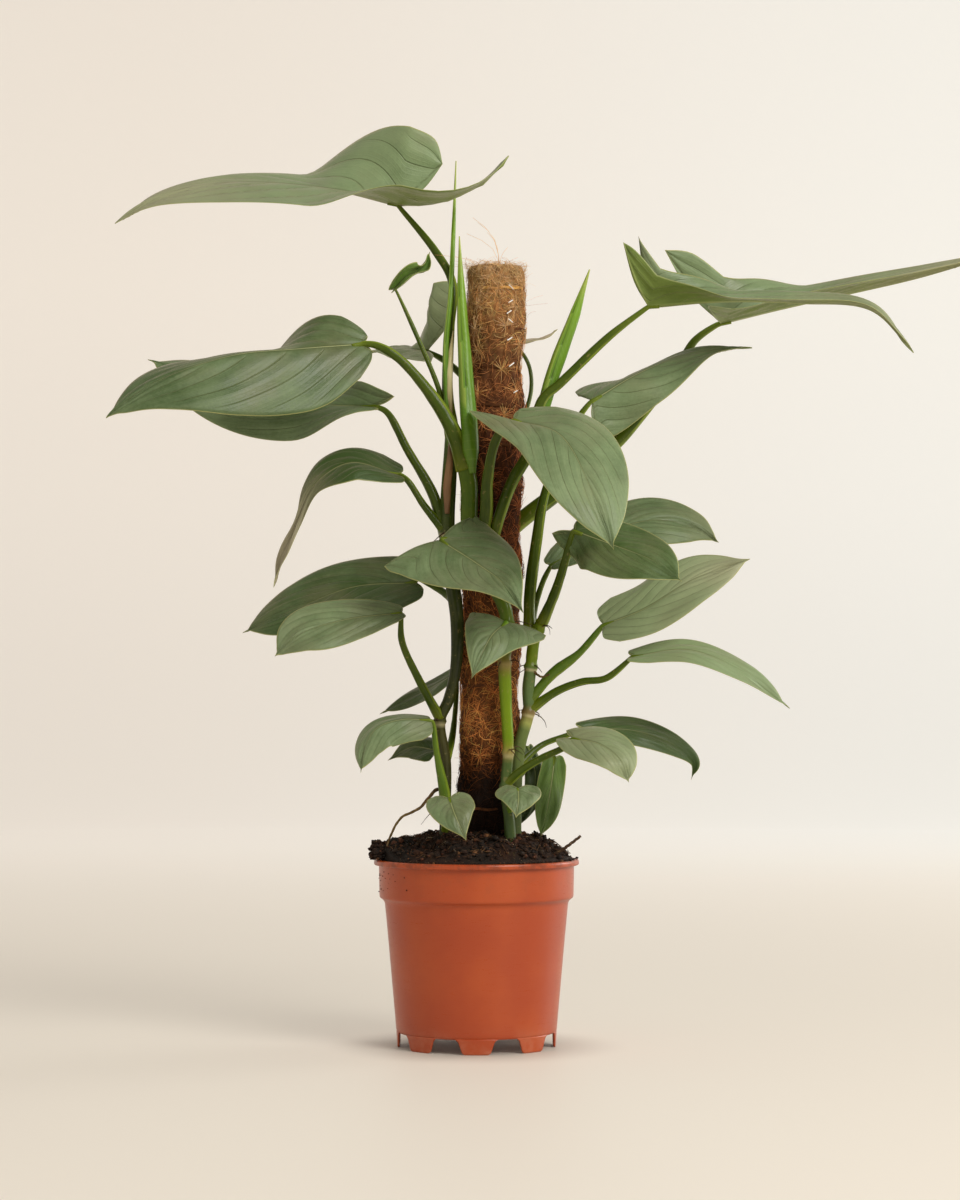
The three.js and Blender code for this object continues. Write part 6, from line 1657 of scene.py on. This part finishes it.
def coir_finish(name, dark):
    """Dry brown fibre in its strand's own colour, with darker clumps."""
    skin = Finish(name, {"Specular IOR Level": 0.15})
    base = skin.tint("skin")
    grain = skin.noise(2600.0, 3.0, 0.7)
    clumps = skin.noise(110.0, 4.0, 0.6)
    shade = skin.smooth(clumps * 0.7 + grain * 0.3, 0.38, 0.62, (0.62 - dark, 0.0))
    base = skin.mix(shade, base, skin.mix(0.75, base, colour(22, 12, 6)))
    skin.set("Base Color", base)
    skin.set("Roughness", skin.smooth(grain, 0.3, 0.7, (0.7, 0.92)))
    skin.bump(grain * 0.6 + clumps * 0.6, 0.0009, 0.9)
    return skin.material


def soil_finish():
    """Moist peat: near-black brown with rusty crumbs, a few pale grains and thin moss."""
    skin = Finish("soil_peat", {"Specular IOR Level": 0.28})
    base = skin.tint("skin")
    crumb = skin.noise(420.0, 5.0, 0.7)
    damp = skin.noise(36.0, 3.0, 0.6)
    base = skin.mix(skin.smooth(crumb, 0.36, 0.62), skin.mix(0.8, base, colour(12, 7, 4)), base)
    base = skin.mix(skin.smooth(damp, 0.42, 0.66) * 0.3, base, colour(72, 42, 28))
    base = skin.mix(skin.smooth(skin.noise(900.0, 1.0), 0.7, 0.76) * 0.6, base, colour(168, 132, 96))
    moss = skin.smooth(skin.noise(70.0, 3.0), 0.6, 0.7) * skin.smooth(crumb, 0.5, 0.7)
    base = skin.mix(moss * 0.35, base, colour(92, 92, 40))
    skin.set("Base Color", base)
    skin.set("Roughness", skin.smooth(damp, 0.3, 0.7, (0.68, 0.95)))
    skin.bump(crumb, 0.0014, 1.0)
    return skin.material


def pot_finish():
    """Moulded brick-orange plastic: satin, faintly mottled, lightly dusty on its band, with painted shade in
    a patchy line under its lip.
    """
    skin = Finish("pot_plastic_moulded", {
        "Specular IOR Level": 0.4, "Subsurface Weight": 0.05, "Subsurface Scale": 0.004,
    })
    where = skin.place()
    height = skin.node("ShaderNodeSeparateXYZ", None, {0: where}, output=2) * 1000.0
    cloud = skin.noise(14.0, 4.0, 0.55)
    grain = skin.noise(1900.0, 2.0, 0.6)
    scuffs = skin.noise(60.0, 5.0, 0.7, skin.place((1.0, 1.0, 9.0)))
    base = skin.mix(skin.smooth(cloud, 0.35, 0.68), colour(160, 64, 28), colour(172, 75, 32))
    base = skin.mix(skin.smooth(scuffs, 0.6, 0.8) * 0.08, base, colour(212, 138, 104))
    base = skin.mix(skin.smooth(grain, 0.6, 0.75) * 0.12, base, colour(140, 62, 36))
    high = skin.smooth(height, 118.0, 150.0)
    # One patchy mask for light dust on the band and for the painted shade under the lip.
    dust_and_shade = skin.smooth(skin.noise(90.0, 5.0, 0.7) + high * 0.12, 0.56, 0.72)
    base = skin.mix(dust_and_shade * skin.smooth(height, 100.0, 146.0) * 0.12, base, colour(112, 66, 46))
    # Painted shade: a dark line just under the lip's overhang.
    base = skin.mix(dust_and_shade * skin.smooth(height, 149.0, 152.0) * 0.45, base, colour(70, 36, 24))
    foot = skin.smooth(height, 0.0, 26.0, (1.0, 0.0)) * skin.smooth(skin.noise(45.0, 4.0), 0.42, 0.66)
    base = skin.mix(foot * 0.3, base, colour(196, 140, 112))
    skin.set("Base Color", base)
    skin.set("Roughness", skin.smooth(grain * 0.5 + scuffs * 0.5, 0.35, 0.65, (0.27, 0.38)))
    skin.bump(grain * 0.5 + cloud * 0.3, 0.0002, 0.25)
    return skin.material


def stake_finish():
    """Plain wood with its grain along the stake."""
    skin = Finish("stake_wood_grain", {"Specular IOR Level": 0.3})
    lines = skin.noise(150.0, 4.0, 0.6, skin.place((1.0, 1.0, 0.06)))
    base = skin.mix(skin.smooth(lines, 0.35, 0.65), colour(132, 96, 62), colour(176, 136, 92))
    skin.set("Base Color", base)
    skin.set("Roughness", skin.smooth(lines, 0.3, 0.7, (0.6, 0.8)))
    skin.bump(lines, 0.0004, 0.6)
    return skin.material


def clear_line_finish():
    """Clear nylon painted near white, a painted glint where it catches the light."""
    skin = Finish("clear_line_painted_glint", {"Specular IOR Level": 0.6, "Coat Weight": 0.5})
    haze = skin.noise(500.0)
    skin.set("Base Color", skin.mix(haze, colour(236, 236, 232), colour(252, 252, 250)))
    skin.set("Roughness", skin.smooth(haze, 0.3, 0.7, (0.12, 0.25)))
    return skin.material


# The pieces

stem_skin = stem_finish()
for stem_name in STEMS:
    add_stem(stem_name, stem_skin)

blade_silver = leaf_finish("blade_silver_green", colour(132, 152, 110), colour(56, 78, 36))
blade_young = leaf_finish("blade_young_green", colour(86, 122, 40), colour(44, 74, 18))
for leaf_name in BLADES:
    if leaf_name == "leaf_young_curled":
        add_leaf(leaf_name, blade_young)
    else:
        add_leaf(leaf_name, blade_silver)

rolled_skin = rolled_finish()
for spear_name in ROLLED_LEAVES:
    add_rolled_leaf(spear_name, rolled_skin)

root_skin = root_finish()
root_shades = [
    (0.0, colour(104, 80, 44)), (0.3, colour(92, 68, 36)), (0.7, colour(116, 96, 46)),
    (1.0, colour(84, 62, 36)),
]
for root_name, root in AERIAL_ROOTS.items():
    add_root(root_name + "_fine", root["points"], root["radii"], root_skin, root_shades, [root_name])
twig_points = [(62, -34, 160), (72, -38, 166), (85, -42, 176)]
twig_shades = [(0.0, colour(60, 42, 28)), (1.0, colour(88, 64, 42))]
add_root("twig_fine", twig_points, [1.5, 1.3, 1.1], root_skin, twig_shades, ["twig"])

add_node_roots(root_skin)
add_dry_sheaths(sheath_finish())

coir_core = coir_finish("coir_packed", 0.0)
coir_loose = coir_finish("coir_loose", 0.3)
add_pole_core(coir_core)
add_pole_fibres(coir_loose)
add_pole_lashings(coir_loose, clear_line_finish())
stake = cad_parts["pole_stake"]
stake.data.materials.clear()
stake.data.materials.append(stake_finish())

soil_skin = soil_finish()
add_soil(soil_skin)
crumb_draws = np.random.default_rng(9)
add_soil_crumbs(soil_skin, crumb_draws)
add_soil_straws(soil_skin, crumb_draws)
pot_skin = pot_finish()
add_pot_shell(pot_skin)
add_pot_feet(pot_skin)

# Camera, floor and light


# The floor is flat to its edge, then turns up into a wall all round.
FLOOR_EDGE, WALL_TURN, WALL_TOP = 4.0, 1.4, 4.5


def floor_finish():
    """Pale paint with a painted glow for the backdrop's light: brighter towards the far wall, warm on the
    near floor where it lifts the cast shadow, and dimmed by the pot as a painted contact shadow.
    """
    paint = Finish("studio_floor_painted_light", {"Specular IOR Level": 0.3, "Emission Strength": 1.0})
    base = paint.mix(paint.noise(0.8, 2.0), colour(190, 184, 174), colour(193, 187, 177))
    paint.set("Base Color", base)
    where = paint.place()
    aside, deep, height = (
        paint.node("ShaderNodeSeparateXYZ", None, {0: where}, output=axis) for axis in (0, 1, 2)
    )
    far = paint.smooth(deep, 0.6, 3.0)
    # Painted light: the glow grows towards the far wall, is a little weaker low down, and is stronger to the
    # right.
    glow = paint.smooth(deep, 0.3, 3.4, (0.33, 0.515)) - paint.smooth(height, 0.05, 0.9, (0.06, 0.02))
    glow = glow + paint.smooth(aside, -2.0, 2.0, (-0.05, 0.05)) * far
    ends = {0: where, 1: tuple(POT_AXIS)}
    from_pot = paint.node("ShaderNodeVectorMath", {"operation": "DISTANCE"}, ends, output=1)
    # Painted contact shadow: the glow falls to a tenth within 5 cm of the pot's axis and is full beyond 13
    # cm.
    glow = glow * paint.smooth(from_pot, 0.05, 0.13, (0.1, 1.0))
    # Painted light: a warm tint on the near floor, turning to a warmer left and a neutral right towards the
    # far wall.
    left, right, near = (1.0, 0.93, 0.86, 1.0), (1.0, 1.02, 1.0, 1.0), (1.0, 0.9, 0.77, 1.0)
    tint = paint.mix(paint.smooth(aside, -1.2, 1.4) * far, left, right)
    tint = paint.mix(paint.smooth(deep, 0.3, 4.4), near, tint)
    paint.set("Emission Color", paint.mix(glow, (0.0, 0.0, 0.0, 1.0), tint))
    paint.set("Roughness", 0.55)
    # The glow is broad and even, so it needs no light rays of its own.
    paint.material.cycles.emission_sampling = "NONE"
    return paint.material


def add_floor():
    """A pale floor that turns up into a round wall behind and around the plant."""
    profile = [(0.0, 0.0), (1.5, 0.0), (3.0, 0.0), (FLOOR_EDGE, 0.0)]
    for turn in np.linspace(0.05, math.pi / 2, 16):
        profile.append((FLOOR_EDGE + WALL_TURN * math.sin(turn), WALL_TURN - WALL_TURN * math.cos(turn)))
    profile.append((FLOOR_EDGE + WALL_TURN, WALL_TOP))
    sides = 96
    points, faces = [], []
    for radius, height in profile:
        for k in range(sides):
            turn = 2 * math.pi * k / sides
            x, y = radius * math.cos(turn), radius * math.sin(turn)
            points.append((x + POT_AXIS[0], y + POT_AXIS[1], height))
    for ring in range(len(profile) - 1):
        for k in range(sides):
            a, b = ring * sides + k, ring * sides + (k + 1) % sides
            faces.append((a, b, b + sides, a + sides))
    mesh = bpy.data.meshes.new("studio_floor")
    mesh.from_pydata(points, [], faces)
    mesh.polygons.foreach_set("use_smooth", [True] * len(mesh.polygons))
    mesh.materials.append(floor_finish())
    floor = bpy.data.objects.new("studio_floor", mesh)
    bpy.context.scene.collection.objects.link(floor)


def add_light(name, place, aim_height, size, power, shade):
    """A round soft lamp at a place round the pot, aimed at a height on its axis."""
    aim = np.array([0, 0, aim_height])
    light = bpy.data.lights.new(name, "AREA")
    light.shape = "DISK"
    light.size = size
    light.energy = power
    light.color = shade
    lamp = bpy.data.objects.new(name, light)
    from_aim = np.array(place) - aim
    yaw = math.atan2(from_aim[1], from_aim[0]) + math.pi / 2
    lean = math.acos(from_aim[2] / np.linalg.norm(from_aim))
    lamp.location = np.array(place) + POT_AXIS
    lamp.rotation_euler = (lean, 0.0, yaw)
    bpy.context.scene.collection.objects.link(lamp)


add_floor()
add_light("window_key", (1.75, -2.1, 2.0), 0.4, 1.7, 78.0, (1.0, 0.965, 0.91))
add_light("wall_fill", (-2.4, -2.2, 1.4), 0.4, 2.4, 3.5, (1.0, 0.98, 0.95))
add_light("side_window", (2.6, 1.3, 1.0), 0.35, 1.4, 26.0, (1.0, 0.99, 0.97))
world = bpy.data.worlds.new("soft_room")
world.use_nodes = True
sky = world.node_tree.nodes["Background"]
sky.inputs["Color"].default_value = (1.0, 0.975, 0.93, 1.0)
sky.inputs["Strength"].default_value = 0.3
bpy.context.scene.world = world

lens = bpy.data.cameras.new("photo_camera")
lens.lens = 85.8
lens.shift_y = 0.0833
camera = bpy.data.objects.new("photo_camera", lens)
camera.location = (POT_AXIS[0] + 0.0029, POT_AXIS[1] - 2.374, 0.287)
camera.rotation_euler = (math.radians(90), 0.0, 0.0)
bpy.context.scene.collection.objects.link(camera)
bpy.context.scene.camera = camera
bpy.context.scene.view_settings.view_transform = "Standard"
